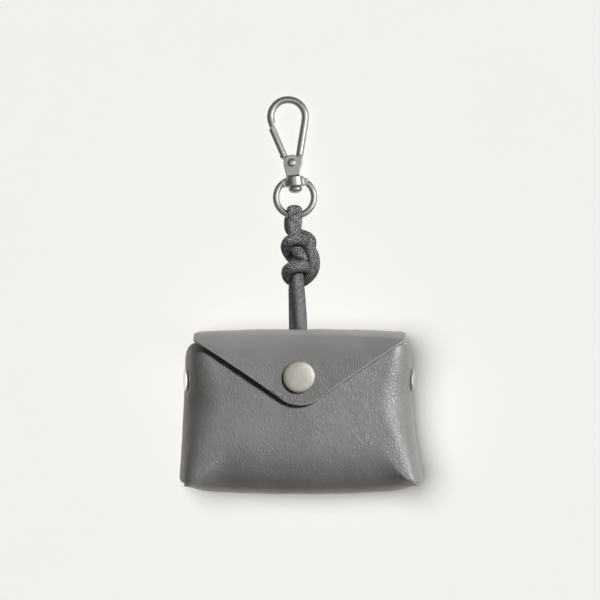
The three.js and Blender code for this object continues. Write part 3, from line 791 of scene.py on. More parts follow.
leather_points, leather_faces, leather_kinds = thick_sheet(sheet_points, sheet_faces)
leather_points[:, 2] = np.maximum(leather_points[:, 2], 0)
pouch = link_mesh("pouch_leather", leather_points, leather_faces)
pouch.data.polygons.foreach_set("material_index", leather_kinds)
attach(pouch, "pouch")
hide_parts("leather_body")
print("leather faces:", len(pouch.data.polygons))

# %% [markdown]
# ## The press studs
# A stud is a pressed cap with a rolled rim, a post through the leather, and a flange that is closed
# over it inside. All of that is round, so each stud is a profile turned about its post.

# %% A turned piece
TURN_STEPS = 72
DOME_STEPS = 14
DOME_TOP = 0.02


def turned(name, profile, place, steps=TURN_STEPS):
    profile = np.asarray(profile, float)
    angle = np.linspace(0, 2 * math.pi, steps, endpoint=False)
    circle = np.stack([np.cos(angle), np.sin(angle)], axis=1)
    flat = (profile[:, None, :1] * circle).reshape(-1, 2)
    points = np.c_[flat, np.repeat(profile[:, 1], steps), np.ones(len(flat))] @ np.array(place).T
    return link_mesh(name, points[:, :3], tube_faces(len(profile), steps))


def dome(radius, low, high, squareness=2.6):
    angle = np.linspace(0, math.pi / 2, DOME_STEPS)
    out = np.maximum(radius * np.cos(angle) ** (2 / squareness), DOME_TOP)
    return list(zip(out, mix(low, high, np.sin(angle) ** (2 / squareness))))


print("a dome of 6 by 1.3 mm has", len(dome(6, 0.8, 2.1)), "rings")

# %% [markdown]
# Sharp corners on plated metal are never quite sharp. A narrow bevel on every steep edge gives each
# one the thin line of light that tells the eye it is metal.

# %% Studs in place
STUD = {"post": 1.6, "flange": 4.2, "flange_thick": 1.0, "gap": 0.3, "rim": 0.5}
ROLLED_RIM = ((0.93, 0), (0.985, 0.14), (1, 0.32))
FLAP_CAP = {"cap": 6.0, "high": 1.9, "spacer": 4.2}
SIDE_CAP = {"cap": 4.4, "high": 1.6}
SIDE_SLACK = 0.9
STUD_BEVEL = 0.12
BEVEL_STEPS = 3
STEEP = math.radians(35)


def softened(piece, width):
    bevel = piece.modifiers.new("soft edges", "BEVEL")
    bevel.width = width * MM
    bevel.segments = BEVEL_STEPS
    bevel.limit_method = "ANGLE"
    bevel.angle_limit = STEEP
    piece.data.set_sharp_from_angle(angle=STEEP)


def stud_profile(stack, cap, high, spacer=0):
    gap, post, flange = STUD["gap"], STUD["post"], STUD["flange"]
    under = -stack - gap
    low = under - STUD["flange_thick"]
    rolled = [(cap * share, gap + up) for share, up in ROLLED_RIM]
    rows = [(post, under), (post, gap), *rolled, *dome(cap, gap + STUD["rim"], high)]
    if spacer:
        top, foot = -LEATHER - gap, -stack + LEATHER + gap
        rows[1:1] = [(post, foot), (spacer, foot), (spacer, top), (post, top)]
    return [(DOME_TOP, low), (flange, low), (flange, under), *rows]


def standing_at(point, outward):
    turn = Vector((0, 0, 1)).rotation_difference(Vector(outward)).to_matrix().to_4x4()
    return Matrix.Translation(Vector(point)) @ turn


flap_stack = flap_height(stud_x, stud_y) - front_height(stud_x, stud_y) + LEATHER
flap_profile = stud_profile(flap_stack, **FLAP_CAP)
side_profile = stud_profile(2 * LEATHER + SIDE_SLACK, **SIDE_CAP)
studs = {
    "flap_snap": turned("flap_stud", flap_profile, standing_at(flap_place, (0, 0, 1))),
    "side_snap_left": turned("side_stud_left", side_profile, standing_at(*side_places[-1])),
    "side_snap_right": turned("side_stud_right", side_profile, standing_at(*side_places[1])),
}
for node, stud in studs.items():
    softened(stud, STUD_BEVEL)
    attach(stud, "pouch")
    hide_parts(node)
print("studs:", [s.name for s in studs.values()])

# %% [markdown]
# ## The swivel hook
# Ring, hook and gate are small zinc castings, with soft hollows wherever two forms meet. Joining crisp
# meshes would leave hard lines there, so each casting is first put together from overlapping solids,
# then remeshed into one skin of tiny cells and smoothed a little, which fills every inner corner.

# %% The hook's own frame, and a casting helper
HOOK_AT = (-2.1, 90.7, 3.75)
HOOK_TURN, HOOK_LEAN = math.radians(5.2), math.radians(-3.7)
HOOK_PLACE = (Matrix.Translation(HOOK_AT) @ Matrix.Rotation(HOOK_TURN, 4, "Z")
              @ Matrix.Rotation(HOOK_LEAN, 4, "X"))
ALONG_Y = Matrix.Rotation(math.radians(-90), 4, "X")
HOOK_STEPS = 48
CELL = 0.13
POLISH = 0.5


def evaluated(piece):
    made = bpy.data.meshes.new_from_object(piece.evaluated_get(bpy.context.evaluated_depsgraph_get()))
    piece.modifiers.clear()
    piece.data = made


def cast(name, solids, cuts=(), rounds=6):
    body = solids[0]
    body.name = body.data.name = name
    for other, operation in [*((s, "UNION") for s in solids[1:]), *((c, "DIFFERENCE") for c in cuts)]:
        change = body.modifiers.new("change", "BOOLEAN")
        change.operation, change.solver, change.object = operation, "EXACT", other
        evaluated(body)
        bpy.data.objects.remove(other)
    skin = body.modifiers.new("skin", "REMESH")
    skin.mode, skin.voxel_size, skin.adaptivity = "VOXEL", CELL * MM, 0
    polish = body.modifiers.new("polish", "SMOOTH")
    polish.factor, polish.iterations = POLISH, rounds
    evaluated(body)
    body.data.shade_smooth()
    body.data.transform(Matrix.Scale(MM, 4) @ HOOK_PLACE @ Matrix.Scale(1 / MM, 4))
    return body


def hook_turned(profile, place=ALONG_Y):
    return turned("turned", profile, place, HOOK_STEPS)


def rod_through(radius, half, place=ALONG_Y):
    return hook_turned([(radius, -half), (radius, half)], place)


print("hook leans by", [round(math.degrees(a), 1) for a in HOOK_PLACE.to_euler("ZYX")])

# %% [markdown]
# The ring hangs from the barrel that the hook's stem turns in. It is an oval of round wire whose ends
# run into two small shoulders on the barrel.

# %% Ring and barrel
BARREL = {"radius": 3.7, "half": 2.0, "bore": 2.0, "bore_half": 6, "chamfer": 0.3}
RING = {"aside": -0.45, "middle": -6.15, "half_x": 7.55, "half_y": 7.4, "wire": 1.3, "steps": 96}
SHOULDER = {"x": 4.1, "y": -0.35, "half": (0.95, 1.35, 1.25), "turn": 0.35}
WIRE_SIDES = 20
ON_AXIS = 0.01


def swept(name, line, radius, closed=False):
    grid = line[:, None] + radius * ring_out(line, WIRE_SIDES)
    faces = tube_faces(len(line), WIRE_SIDES, caps=not closed)
    if closed:
        last = (len(line) - 1) * WIRE_SIDES
        pairs = [(k, (k + 1) % WIRE_SIDES) for k in range(WIRE_SIDES)]
        faces += [(last + k, last + after, after, k) for k, after in pairs]
    return link_mesh(name, grid, faces)


def box_mesh(centre, half, turn=0.0):
    square = ((-1, -1), (1, -1), (1, 1), (-1, 1))
    corners = np.array([(x, y, z) for z in (-1, 1) for x, y in square]) * half
    c, s = math.cos(turn), math.sin(turn)
    corners = corners @ np.array([[c, s, 0], [-s, c, 0], [0, 0, 1]]) + centre
    faces = [(3, 2, 1, 0), (4, 5, 6, 7), (0, 1, 5, 4), (1, 2, 6, 5), (2, 3, 7, 6), (3, 0, 4, 7)]
    return link_mesh("block", corners, faces, smooth=False)


around = np.linspace(0, 2 * math.pi, RING["steps"], endpoint=False)
hoop_x = RING["aside"] + RING["half_x"] * np.sin(around)
hoop_y = RING["middle"] + RING["half_y"] * np.cos(around)
hoop = swept("hoop", np.stack([hoop_x, hoop_y, 0 * around], axis=1), RING["wire"], closed=True)
r, half, chamfer = BARREL["radius"], BARREL["half"], BARREL["chamfer"]
barrel = hook_turned([
    (ON_AXIS, -half), (r - chamfer, -half), (r, chamfer - half),
    (r, half - chamfer), (r - chamfer, half), (ON_AXIS, half),
])
shoulders = [
    box_mesh((s * SHOULDER["x"], SHOULDER["y"], 0), SHOULDER["half"], -s * SHOULDER["turn"]) for s in SIDES
]
bore = rod_through(BARREL["bore"], BARREL["bore_half"])
ring = cast("ring", [hoop, barrel, *shoulders], [bore])
print("ring faces:", len(ring.data.polygons))

# %% [markdown]
# The hook is a drop-shaped bow of round wire. Its right leg runs down into a flat fork with the rivet,
# and the stem under the fork goes through the barrel to a round head. The fork is slotted for the gate.

# %% Bow, fork and stem
BOW = {
    "middle": 26.2, "radius": 6.9, "wire": 1.5, "half_angle": 15, "lean": 1, "end": 20,
    "legs": (6, 9, 12, 15, 18), "turn_step": 15, "step": 0.5,
}
FORK = {"half": 1.8, "neck_y": 2.35, "neck": (-3.15, 2.1), "top_y": 10.2, "top": (2.4, 4.25)}
EYE = {"radius": 3.3, "from": 40, "to": 190, "steps": 25, "slot": 1.0, "slot_radius": 3.4}
STEM = {
    "radius": 1.55, "head": 2.75, "head_top": -2.35, "head_end": -4.5, "head_rim": 0.5,
    "head_soft": 0.15, "squareness": 2.3, "into_fork": 0.6,
}
PIVOT = {
    "x": -0.5, "y": 7.45, "pin": 0.95, "hole": 1.25, "hole_half": 4,
    "head": 1.65, "dome": 0.8, "stands": 0.3, "squareness": 2.2,
}
NOTCH = {"x": -7.32, "y": 22.75, "angle": math.radians(45.7), "block": 5.0, "gap": 0.3}
AT_PIVOT = Matrix.Translation((PIVOT["x"], PIVOT["y"], 0))


def bow_line():
    slant = math.radians(BOW["half_angle"])

    def leg(y):
        return (y - BOW["middle"] + BOW["radius"] / math.sin(slant)) * math.tan(slant)

    turn = np.radians(np.arange(-BOW["half_angle"], 181 + BOW["half_angle"], BOW["turn_step"]))
    points = [(leg(y), y, 0) for y in BOW["legs"]]
    points += [(BOW["radius"] * math.cos(a), BOW["middle"] + BOW["radius"] * math.sin(a), 0) for a in turn]
    points = [*points, (-leg(BOW["end"]), BOW["end"], 0)]
    about_rivet = AT_PIVOT @ Matrix.Rotation(math.radians(BOW["lean"]), 4, "Z") @ AT_PIVOT.inverted()
    return smooth_line([about_rivet @ Vector(point) for point in points], BOW["step"])[0]


def fork_plate():
    arc = np.radians(np.linspace(EYE["from"], EYE["to"], EYE["steps"]))
    outline = [(x, FORK["neck_y"]) for x in FORK["neck"]]
    outline += [(x, FORK["top_y"]) for x in FORK["top"][::-1]]
    round_x, round_y = EYE["radius"] * np.cos(arc), EYE["radius"] * np.sin(arc)
    outline += list(zip(PIVOT["x"] + round_x, PIVOT["y"] + round_y))
    points = [(x, y, z) for z in (-FORK["half"], FORK["half"]) for x, y in outline]
    return link_mesh("fork", points, tube_faces(2, len(outline)), smooth=False)


def joint_block(sign):
    shift = sign * (NOTCH["block"] - NOTCH["gap"] / 2)
    c, s = math.cos(NOTCH["angle"]), math.sin(NOTCH["angle"])
    centre = (NOTCH["x"] - s * shift, NOTCH["y"] + c * shift, 0)
    return box_mesh(centre, (NOTCH["block"],) * 3, NOTCH["angle"])


head_rim = STEM["head_rim"] - STEM["head_top"]
head = dome(STEM["head"], head_rim, -STEM["head_end"], STEM["squareness"])
stem_top = FORK["neck_y"] + STEM["into_fork"]
stem = hook_turned([
    *[(radius, -z) for radius, z in head[::-1]],
    (STEM["head"] - STEM["head_soft"], STEM["head_top"]), (STEM["radius"], STEM["head_top"]),
    (STEM["radius"], stem_top), (ON_AXIS, stem_top),
])
bow = swept("bow", bow_line(), BOW["wire"])
slot = rod_through(EYE["slot_radius"], EYE["slot"], AT_PIVOT)
pin_hole = rod_through(PIVOT["hole"], PIVOT["hole_half"], AT_PIVOT)
hook = cast("hook", [bow, fork_plate(), stem], [joint_block(-1), slot, pin_hole])
print("hook faces:", len(hook.data.polygons))

# %% [markdown]
# The gate is a straight rod that closes against the end of the bow along a slanting joint. Its heel is
# a thin disc that turns in the fork's slot, and a domed rivet goes through both.

# %% Gate and rivet
GATE = {
    "wire": 1.4, "heel": 2.8, "heel_half": 0.7, "neck": 1.2,
    "foot": (-3.2, 10.3), "top": (-7.8, 24.3), "steps": 12, "polish": 3,
}
RIVET_BEVEL = 0.08

reach = np.array(GATE["foot"]) - (PIVOT["x"], PIVOT["y"])
neck_half = (float(np.hypot(*reach)) + GATE["wire"]) / 2
neck_turn = math.atan2(reach[1], reach[0])
neck_x = PIVOT["x"] + neck_half * math.cos(neck_turn)
neck_y = PIVOT["y"] + neck_half * math.sin(neck_turn)
neck = box_mesh((neck_x, neck_y, 0), (neck_half, GATE["neck"], GATE["heel_half"]), neck_turn)
r, half = GATE["heel"], GATE["heel_half"]
heel = hook_turned([(ON_AXIS, -half), (r, -half), (r, half), (ON_AXIS, half)], AT_PIVOT)
rod_line = np.linspace((*GATE["foot"], 0.0), (*GATE["top"], 0.0), GATE["steps"])
gate_hole = rod_through(PIVOT["hole"], PIVOT["hole_half"], AT_PIVOT)
rod = swept("rod", rod_line, GATE["wire"])
gate = cast("gate", [rod, heel, neck], [joint_block(1), gate_hole], GATE["polish"])

rivet_low = FORK["half"] + PIVOT["stands"]
rivet_top = dome(PIVOT["head"], rivet_low, rivet_low + PIVOT["dome"], PIVOT["squareness"])
rivet_half = [(PIVOT["pin"], rivet_low), *rivet_top]
rivet_profile = [(radius, -z) for radius, z in rivet_half[::-1]] + rivet_half
rivet = turned("rivet", rivet_profile, HOOK_PLACE @ AT_PIVOT, HOOK_STEPS)
softened(rivet, RIVET_BEVEL)
print("gate and rivet faces:", len(gate.data.polygons), len(rivet.data.polygons))

# %% [markdown]
# The ring stays with the pouch and its cord, the hook turns in the ring, and the gate turns in the
# hook. Each piece is tied to the body of the frame that moves it.

# %% Which body carries what
for piece, body, node in [
    (ring, "pouch", "swivel_ring"), (hook, "hook", "hook_body"),
    (gate, "gate", "hook_gate"), (rivet, "hook", "gate_rivet"),
]:
    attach(piece, body)
    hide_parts(node)
print("cord declared:", round(float(cord_run[-1])), "mm")

# %% [markdown]
# ## Finishes
# Every finish is built from nodes. Its patterns are node groups with named sockets, so that any
# material can use them: a leather grain, loose fibres, the fine wear of plated metal and a braid.

# %% Helpers for nodes
def fill(tree, node, values):
    for label, value in values.items():
        if isinstance(value, bpy.types.NodeSocket):
            tree.links.new(value, node.inputs[label])
        else:
            node.inputs[label].default_value = value
    return node


def put(tree, kind, values=None, **settings):
    node = tree.nodes.new("ShaderNode" + kind)
    for key, value in settings.items():
        setattr(node, key, value)
    return fill(tree, node, values or {})


def maths(tree, operation, a, b=0.0, c=0.0):
    return put(tree, "Math", {0: a, 1: b, 2: c}, operation=operation).outputs[0]


def ranged(tree, value, low, high, to_low=0.0, to_high=1.0):
    values = {"Value": value, "From Min": low, "From Max": high, "To Min": to_low, "To Max": to_high}
    return put(tree, "MapRange", values, interpolation_type="SMOOTHSTEP").outputs["Result"]


def mixed(tree, factor, a, b):
    return put(tree, "Mix", {"Factor": factor, "A": a, "B": b}).outputs["Result"]


def scaled(tree, vector, factor):
    return put(tree, "VectorMath", {0: vector, "Scale": factor}, operation="SCALE").outputs[0]


def clouds(tree, vector, scale, detail, output="Fac", **more):
    values = {"Vector": vector, "Scale": scale, "Detail": detail, **more}
    return put(tree, "TexNoise", values).outputs[output]


def stretched(tree, vector, rotation, scale):
    return put(tree, "Mapping", {"Vector": vector, "Rotation": rotation, "Scale": scale}).outputs[0]


def new_group(name, inputs, outputs):
    tree = bpy.data.node_groups.new(name, "ShaderNodeTree")
    for label, kind, value in inputs:
        socket = tree.interface.new_socket(label, in_out="INPUT", socket_type="NodeSocket" + kind)
        if kind == "Float":
            socket.default_value = value
    for label in outputs:
        tree.interface.new_socket(label, in_out="OUTPUT", socket_type="NodeSocketFloat")
    return tree, tree.nodes.new("NodeGroupInput").outputs, tree.nodes.new("NodeGroupOutput")


print("node helpers ready")

# %% [markdown]
# Grained leather has small pebbles parted by creases. Where the hide is pulled flat the pebbles close
# up into long fine wrinkles. The group makes both and blends them by how far the hide is bent.

# %% The grain of the leather
def make_grain():
    tree, given, result = new_group(
        "leather grain",
        [("Position", "Vector", None), ("Cell", "Float", 1.1),
         ("Pebbled", "Float", 0.5), ("Depth", "Float", 1.0)],
        ["Height", "Crease"],
    )

    def added(a, b):
        return put(tree, "VectorMath", {0: a, 1: b}, operation="ADD").outputs[0]

    def from_crease(vector):
        values = {"Vector": vector, "Scale": 1.0}
        return put(tree, "TexVoronoi", values, feature="DISTANCE_TO_EDGE").outputs["Distance"]

    spread = scaled(tree, given["Position"], maths(tree, "DIVIDE", 1000.0, given["Cell"]))
    sway = clouds(tree, spread, 0.10, 1.0, "Color")
    jitter = clouds(tree, spread, 0.55, 2.0, "Color")
    swayed = added(spread, scaled(tree, sway, 5.0))
    rounded = added(swayed, scaled(tree, jitter, 0.6))
    pebble = maths(tree, "SQRT", ranged(tree, from_crease(rounded), 0.0, 0.42))
    moved = added(swayed, scaled(tree, jitter, 1.5))
    drawn = stretched(tree, moved, (0, 0, math.radians(10)), (1.6, 0.45, 1.0))
    closed = ranged(tree, clouds(tree, spread, 0.22, 2.0), 0.25, 0.6, 0.35, 1.0)
    wrinkle = mixed(tree, closed, 0.8, ranged(tree, from_crease(drawn), 0.0, 0.40))
    pore = clouds(tree, spread, 3.2, 2.0)
    blend = mixed(tree, given["Pebbled"], wrinkle, pebble)
    height = maths(tree, "MULTIPLY", maths(tree, "MULTIPLY_ADD", pore, 0.16, blend), given["Depth"])
    crease = maths(tree, "MULTIPLY", maths(tree, "SUBTRACT", 1.0, blend), given["Depth"])
    fill(tree, result, {"Height": height, "Crease": crease})
    return tree


grain_group = make_grain()
print("grain group nodes:", len(grain_group.nodes))

# %% [markdown]
# Cut edges, the inner flesh side and the braid all show loose fibres, each at its own scale.

# %% Loose fibres
def make_fibre():
    tree, given, result = new_group(
        "loose fibre",
        [("Position", "Vector", None), ("Fineness", "Float", 3000.0), ("Lift", "Float", 1.0)],
        ["Height", "Tone"],
    )
    coarse = clouds(tree, given["Position"], given["Fineness"], 4.0, Roughness=0.65)
    patches = clouds(tree, given["Position"], 240.0, 2.0)
    tone = maths(tree, "MULTIPLY_ADD", patches, 0.4, maths(tree, "MULTIPLY", coarse, 0.6))
    fill(tree, result, {"Height": maths(tree, "MULTIPLY", coarse, given["Lift"]), "Tone": tone})
    return tree


fibre_group = make_fibre()
print("fibre group nodes:", len(fibre_group.nodes))

# %% [markdown]
# Nickel plate dulls unevenly: handling leaves hazy patches and hair-fine scratches. The group gives one
# value for the haze and one for the scratches, and each metal uses them at its own strength.

# %% Wear on plated metal
def make_wear():
    tree, given, result = new_group(
        "plated wear",
        [("Position", "Vector", None), ("Fineness", "Float", 900.0)],
        ["Haze", "Scratch"],
    )
    haze = clouds(tree, given["Position"], 160.0, 4.0, Roughness=0.6)
    drawn = stretched(tree, given["Position"], (0.3, 0.2, 0.6), (1, 0.06, 1))
    hair = clouds(tree, drawn, given["Fineness"], 3.0)
    fill(tree, result, {"Haze": ranged(tree, haze, 0.3, 0.7), "Scratch": ranged(tree, hair, 0.35, 0.65)})
    return tree


wear_group = make_wear()
print("wear group nodes:", len(wear_group.nodes))

# %% [markdown]
# A new material starts with its Principled shader, and a bump that turns a height into a normal.

# %% A material to start from
def new_material(name, roughness, metallic=0.0):
    material = bpy.data.materials.new(name)
    material.use_nodes = True
    tree = material.node_tree
    tree.nodes.clear()
    shader = put(tree, "BsdfPrincipled", {"Roughness": roughness, "Metallic": metallic})
    put(tree, "OutputMaterial", {"Surface": shader.outputs[0]})
    position = put(tree, "TexCoord").outputs["Object"]
    return material, tree, shader, position


def use_group(tree, group, **values):
    node = tree.nodes.new("ShaderNodeGroup")
    node.node_tree = group
    return fill(tree, node, values).outputs


def bumped(tree, shader, height, depth_mm, strength=1.0):
    bump = put(tree, "Bump", {"Height": height, "Distance": depth_mm * MM, "Strength": strength})
    fill(tree, shader, {"Normal": bump.outputs[0]})


def toned(tree, factor, dark, light):
    ramp_node = put(tree, "ValToRGB", {"Fac": factor})
    ramp_node.color_ramp.elements[0].color = (*dark, 1)
    ramp_node.color_ramp.elements[1].color = (*light, 1)
    return ramp_node.outputs["Color"]


print("material helpers ready")

# %% [markdown]
# The hide is a warm mid grey, semi-matt, a little shinier on top of each pebble than in the creases.
# The right-hand fold is bent most and shows its pebbles; the flat front and the flap show wrinkles.

# %% Grey grained leather
def make_leather():
    material, tree, shader, position = new_material("grey grained leather", 0.5)
    axis = put(tree, "SeparateXYZ", {0: position}).outputs
    bent = ranged(tree, axis["X"], 0.026, 0.036)
    over_right = ranged(tree, axis["X"], -0.040, 0.010, 0.50, 0.44)
    on_fold = maths(tree, "MULTIPLY", bent, ranged(tree, axis["X"], 0.0395, 0.0425, 0.20, 0.0))
    at_top = ranged(tree, axis["Y"], 0.017, 0.028, 1.0, 0.15)
    at_bottom = ranged(tree, axis["Y"], -0.031, -0.022, 0.35, 1.0)
    right_wall = ranged(tree, axis["X"], 0.0415, 0.0440, 1.0, 0.3)
    left_wall = ranged(tree, axis["X"], -0.0420, -0.0390, 0.3, 1.0)
    on_wall = maths(tree, "MULTIPLY", right_wall, left_wall)
    shown = maths(tree, "MULTIPLY", maths(tree, "MULTIPLY", at_top, at_bottom), on_wall)
    depth = maths(tree, "MULTIPLY", maths(tree, "ADD", over_right, on_fold), shown)
    grain = use_group(tree, grain_group, Position=position, Cell=1.4, Pebbled=bent, Depth=depth)
    drift = clouds(tree, position, 45.0, 3.0)
    # Painted shade: the creases of the grain are darkened in the colour, over a slow random tone.
    tone = maths(tree, "MULTIPLY_ADD", grain["Crease"], -0.30, drift)
    colour = toned(tree, ranged(tree, tone, -0.2, 0.8), (0.175, 0.171, 0.169), (0.257, 0.252, 0.249))
    # Painted shade: the flap's colour is darkened, more and more towards its right side.
    high = ranged(tree, axis["Z"], 0.0345, 0.0355)
    before_spine = ranged(tree, axis["Y"], 0.0290, 0.0340, 1.0, 0.0)
    on_flap = maths(tree, "MULTIPLY", high, before_spine)
    flap_painted_shade = maths(tree, "MULTIPLY", on_flap, ranged(tree, axis["X"], -0.032, 0.030, 0.0, 0.26))
    colour = scaled(tree, colour, maths(tree, "SUBTRACT", 1.0, flap_painted_shade))
    rough = maths(tree, "MULTIPLY_ADD", grain["Crease"], 0.20, 0.43)
    fill(tree, shader, {"Base Color": colour, "Roughness": rough})
    bumped(tree, shader, grain["Height"], 0.20, 0.9)
    return material


leather = make_leather()
print("leather nodes:", len(leather.node_tree.nodes))

# %% [markdown]
# Where the knife went through, the edge is paler and fibrous. Inside, the flesh side is matt and soft.

# %% Cut edge and flesh side
def make_fibrous(name, dark, light, fineness, depth_mm):
    material, tree, shader, position = new_material(name, 0.85)
    fibre = use_group(tree, fibre_group, Position=position, Fineness=fineness, Lift=1.0)
    fill(tree, shader, {"Base Color": toned(tree, fibre["Tone"], dark, light)})
    bumped(tree, shader, fibre["Height"], depth_mm)
    return material


cut_edge = make_fibrous("cut leather edge", (0.24, 0.235, 0.23), (0.42, 0.41, 0.40), 2600.0, 0.06)
flesh_side = make_fibrous("flesh side", (0.13, 0.125, 0.12), (0.24, 0.235, 0.225), 1500.0, 0.15)
for material in (leather, cut_edge, flesh_side):
    pouch.data.materials.append(material)
print("pouch materials:", [m.name for m in pouch.data.materials])

# %% [markdown]
# The braid's colour follows the same two-over-two rule as its mesh: each yarn has its own grey, and painted
# shade makes the top of a yarn paler and the gaps between yarns dark. A strand is also painted darker
# towards its outline, which keeps the turns of the knot apart.

# %% Braided yarn
def make_braid():
    tree, given, result = new_group(
        "yarn braid", [("Across", "Float", 0.0), ("Along", "Float", 0.0)], ["Height", "Yarn"],
    )
    first = maths(tree, "ADD", given["Across"], given["Along"])
    second = maths(tree, "SUBTRACT", given["Across"], given["Along"])
    heights, tones = [], []
    for own, other, sign in ((first, second, 1.0), (second, first, -1.0)):
        yarn = maths(tree, "FLOOR", own)
        crossings = maths(tree, "SUBTRACT", maths(tree, "ADD", other, yarn), 1.0)
        phase = maths(tree, "MULTIPLY", crossings, math.pi / 2)
        over = maths(tree, "MULTIPLY", maths(tree, "COSINE", phase), YARN_SWING * sign)
        middle = maths(tree, "MULTIPLY_ADD", maths(tree, "FRACT", own), 2.0, -1.0)
        bulge = maths(tree, "SQRT", maths(tree, "SUBTRACT", 1.0, maths(tree, "MULTIPLY", middle, middle)))
        heights.append(maths(tree, "MULTIPLY", bulge, maths(tree, "ADD", over, YARN_LEVEL)))
        step = maths(tree, "FLOOR", maths(tree, "MULTIPLY", phase, 0.5 / math.pi))
        lay = put(tree, "CombineXYZ", {"X": yarn, "Y": step, "Z": sign}).outputs[0]
        tones.append(put(tree, "TexWhiteNoise", {"Vector": lay}).outputs["Value"])
    top = maths(tree, "GREATER_THAN", heights[0], heights[1])
    yarn_tone = mixed(tree, top, tones[1], tones[0])
    fill(tree, result, {"Height": maths(tree, "MAXIMUM", *heights), "Yarn": yarn_tone})
    return tree


def make_cord_material():
    material, tree, shader, position = new_material("grey braided cord", 0.8)
    at = put(tree, "SeparateXYZ", {0: put(tree, "UVMap", uv_map="braid").outputs[0]}).outputs
    braid = use_group(tree, braid_group, Across=at["X"], Along=at["Y"])
    fibre = use_group(tree, fibre_group, Position=position, Fineness=5000.0, Lift=0.5)
    # Painted shade: the tops of the yarns are painted paler and the gaps between them darker.
    painted_yarn_shade = maths(tree, "MULTIPLY", ranged(tree, braid["Height"], 0.5, 0.95), 0.6)
    shade = maths(tree, "MULTIPLY_ADD", braid["Yarn"], 0.38, painted_yarn_shade)
    shade = maths(tree, "MULTIPLY_ADD", fibre["Tone"], 0.25, maths(tree, "SUBTRACT", shade, 0.27))
    # Painted shade: the strand is painted darker where its surface turns away towards the outline.
    painted_outline_shade = put(tree, "LayerWeight", {"Blend": 0.5}).outputs["Facing"]
    shade = maths(tree, "MULTIPLY_ADD", painted_outline_shade, -0.32, shade)
    fill(tree, shader, {"Base Color": toned(tree, shade, (0.010, 0.010, 0.011), (0.48, 0.48, 0.485))})
    bumped(tree, shader, fibre["Height"], 0.08)
    return material


braid_group = make_braid()
cord_material = make_cord_material()
for piece in (cord, stop_knot):
    piece.data.materials.append(cord_material)
print("cord material nodes:", len(cord_material.node_tree.nodes))

# %% [markdown]
# The studs are satin nickel with a warm cast; the hook is plated brighter and reflects more sharply.

# %% Plated metal
SCRATCH_FINENESS = 1400.0
DULLED = 0.86


def make_metal(name, colour, roughness, haze_by, scratch_by, scratch_mm):
    material, tree, shader, position = new_material(name, roughness, 1.0)
    wear = use_group(tree, wear_group, Position=position, Fineness=SCRATCH_FINENESS)
    rough = maths(tree, "MULTIPLY_ADD", wear["Haze"], haze_by, roughness)
    rough = maths(tree, "MULTIPLY_ADD", wear["Scratch"], scratch_by, rough)
    dull = tuple(c * DULLED for c in colour)
    fill(tree, shader, {"Base Color": toned(tree, wear["Haze"], colour, dull), "Roughness": rough})
    bumped(tree, shader, wear["Scratch"], scratch_mm)
    return material


stud_metal = make_metal("satin nickel", (0.83, 0.81, 0.73), 0.56, 0.06, 0.04, 0.004)
hook_metal = make_metal("bright nickel", (0.60, 0.59, 0.56), 0.33, 0.08, 0.05, 0.003)
fittings = [ring, hook, gate, rivet]
for piece in studs.values():
    piece.data.materials.append(stud_metal)
for piece in fittings:
    piece.data.materials.clear()
    piece.data.materials.append(hook_metal)
print("metals:", stud_metal.name, hook_metal.name)

# %% [markdown]
# ## Table and light
# The pouch lies on a plain pale sheet, which throws warm light back onto the leather. Left to chance
# that light comes with much grain, so the sheet also glows a little, but only for the soft rays that
# reach it from another piece. The camera never sees the glow.

# %% The pale table
TABLE_BOUNCE = 0.4
TABLE_HALF = 1500.0
TABLE_GAP = 0.02


def make_table():
    material, tree, shader, position = new_material("pale paper", 0.9)
    speck = clouds(tree, position, 30.0, 2.0)
    colour = toned(tree, speck, (0.880, 0.865, 0.835), (0.890, 0.875, 0.845))
    bounced = put(tree, "LightPath").outputs["Is Diffuse Ray"]
    fill(tree, shader, {
        "Base Color": colour, "Specular IOR Level": 0.1, "Emission Color": (1.0, 0.88, 0.70, 1),
        "Emission Strength": maths(tree, "MULTIPLY", bounced, TABLE_BOUNCE),
    })
    return material


square = np.array([(-1, -1), (1, -1), (1, 1), (-1, 1)]) * TABLE_HALF
table = link_mesh("table", np.c_[square, np.full(4, -TABLE_GAP)], [(0, 1, 2, 3)], smooth=False)
table.data.materials.append(make_table())
table.visible_glossy = False
print("table is", 2 * TABLE_HALF * MM, "m wide")

# %% [markdown]
# A studio picture is lit by several soft boxes, each screened off from what it should not touch. Light
# linking does the same here: every lamp has a list of the pieces that it lights or leaves out, and its
# size sets how soft it is. All of them face the pouch.

# %% A lamp and the pieces it lights
LOOK_AT = Vector((0, 0.02, 0.015))
WHITE = (1, 1, 1)


def link_list(name, pieces, state="INCLUDE"):
    group = bpy.data.collections.new(name)
    for piece in pieces:
        group.objects.link(piece)
    for entry in group.collection_objects:
        entry.light_linking.link_state = state
    return group


def lamp(name, place, size, watts, pieces, state="INCLUDE", colour=WHITE, kind="AREA"):
    data = bpy.data.lights.new(name, kind)
    if kind == "AREA":
        data.size = size
    else:
        data.angle = size
    data.energy = watts
    data.color = colour
    made = bpy.data.objects.new(name, data)
    made.location = place
    made.rotation_mode = "QUATERNION"
    made.rotation_quaternion = (LOOK_AT - Vector(place)).to_track_quat("-Z", "Y")
    scene.collection.objects.link(made)
    made.light_linking.receiver_collection = link_list(name + " link", pieces, state)
    return made


print("lamps look at", tuple(LOOK_AT))

# %% [markdown]
# A small lamp at the upper right shapes the leather and the cord, without any shine. A broad one low on
# the right adds only a sheen to the leather. Four more are kept for the metal and one for the cord. Two
# lamps under the table stand for the pale sheet's reflection, and the pouch shades them as it shades
# the sheet. A wide sun from the upper left lights the sheet alone and gives the short soft shadow.

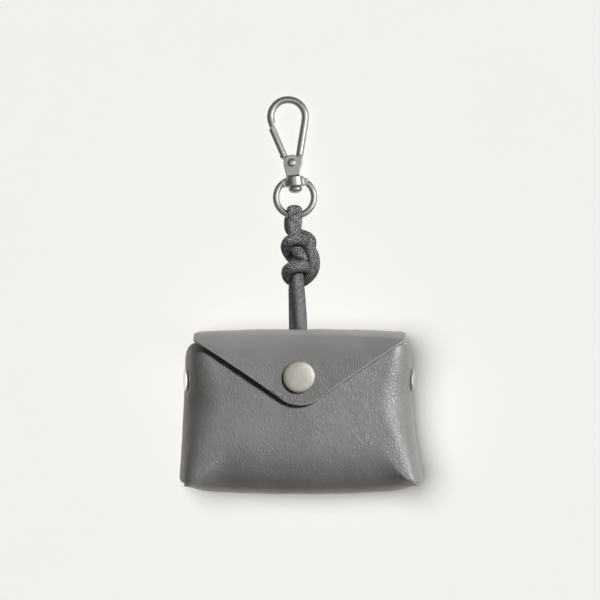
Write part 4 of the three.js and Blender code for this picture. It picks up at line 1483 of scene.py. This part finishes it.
# %% Lamps
SUN_FROM = Vector((-0.26, 0.19, 1.0))
SUN_WIDTH = math.radians(42)
side_studs = [studs["side_snap_left"], studs["side_snap_right"]]
bright = [*fittings, studs["flap_snap"]]
metal = [*fittings, *studs.values()]

side_lamp = lamp("side lamp", (0.38, 0.35, 0.67), 0.14, 8.0, [table, *bright], "EXCLUDE")
side_lamp.visible_glossy = False
sheen_lamp = lamp("sheen lamp", (0.66, 0.05, 0.40), 0.55, 12.5, [pouch])
sheen_lamp.visible_diffuse = False
lamp("top lamp", (0.15, 0.05, 0.95), 1.2, 2.6, metal)
lamp("cord lamp", (-0.25, 0.30, 0.55), 0.4, 0.8, [cord])
lamp("metal lamp", (0.56, 0.16, 0.46), 0.5, 3.2, bright)
under_leather = lamp(
    "leather from below", (0, 0.10, -0.25), 0.6, 2.3, [pouch, cord], colour=(1.0, 0.94, 0.85))
under_leather.data.shape = "RECTANGLE"
under_leather.data.size_y = 1.5
under_leather.visible_diffuse = False
under_metal = lamp("metal from below", (0, 0.02, -0.25), 2.0, 7.0, metal)
sheet_lamp = lamp("sheet lamp", LOOK_AT + SUN_FROM, SUN_WIDTH, 3.22, [table], kind="SUN")
lamp("left stud lamp", (-0.45, 0.02, 0.36), 0.4, 5.5, side_studs)
lamp("right stud lamp", (0.45, 0.02, 0.36), 0.4, 2.2, side_studs)
for made in (sheet_lamp, under_leather, under_metal):
    made.light_linking.blocker_collection = link_list(made.name + " shade", [pouch])
print("lamps:", [light.name for light in bpy.data.lights])

# %% [markdown]
# The room around is faint and warm. It is a little brighter in reflections, and much brighter where the
# camera looks past the table, so that the picture's ground stays pale.

# %% The room around
ROOM, IN_SHINE, IN_VIEW = 0.03, 0.07, 0.85
world = bpy.data.worlds.new("studio")
world.use_nodes = True
room = world.node_tree
sky = room.nodes["Background"]
ray = put(room, "LightPath").outputs
shine = maths(room, "MULTIPLY_ADD", ray["Is Glossy Ray"], IN_SHINE, ROOM)
seen = maths(room, "MULTIPLY_ADD", ray["Is Camera Ray"], IN_VIEW, shine)
fill(room, sky, {"Color": (1.0, 0.97, 0.92, 1), "Strength": seen})
scene.world = world
scene.view_settings.view_transform = "Standard"
print("world:", world.name)
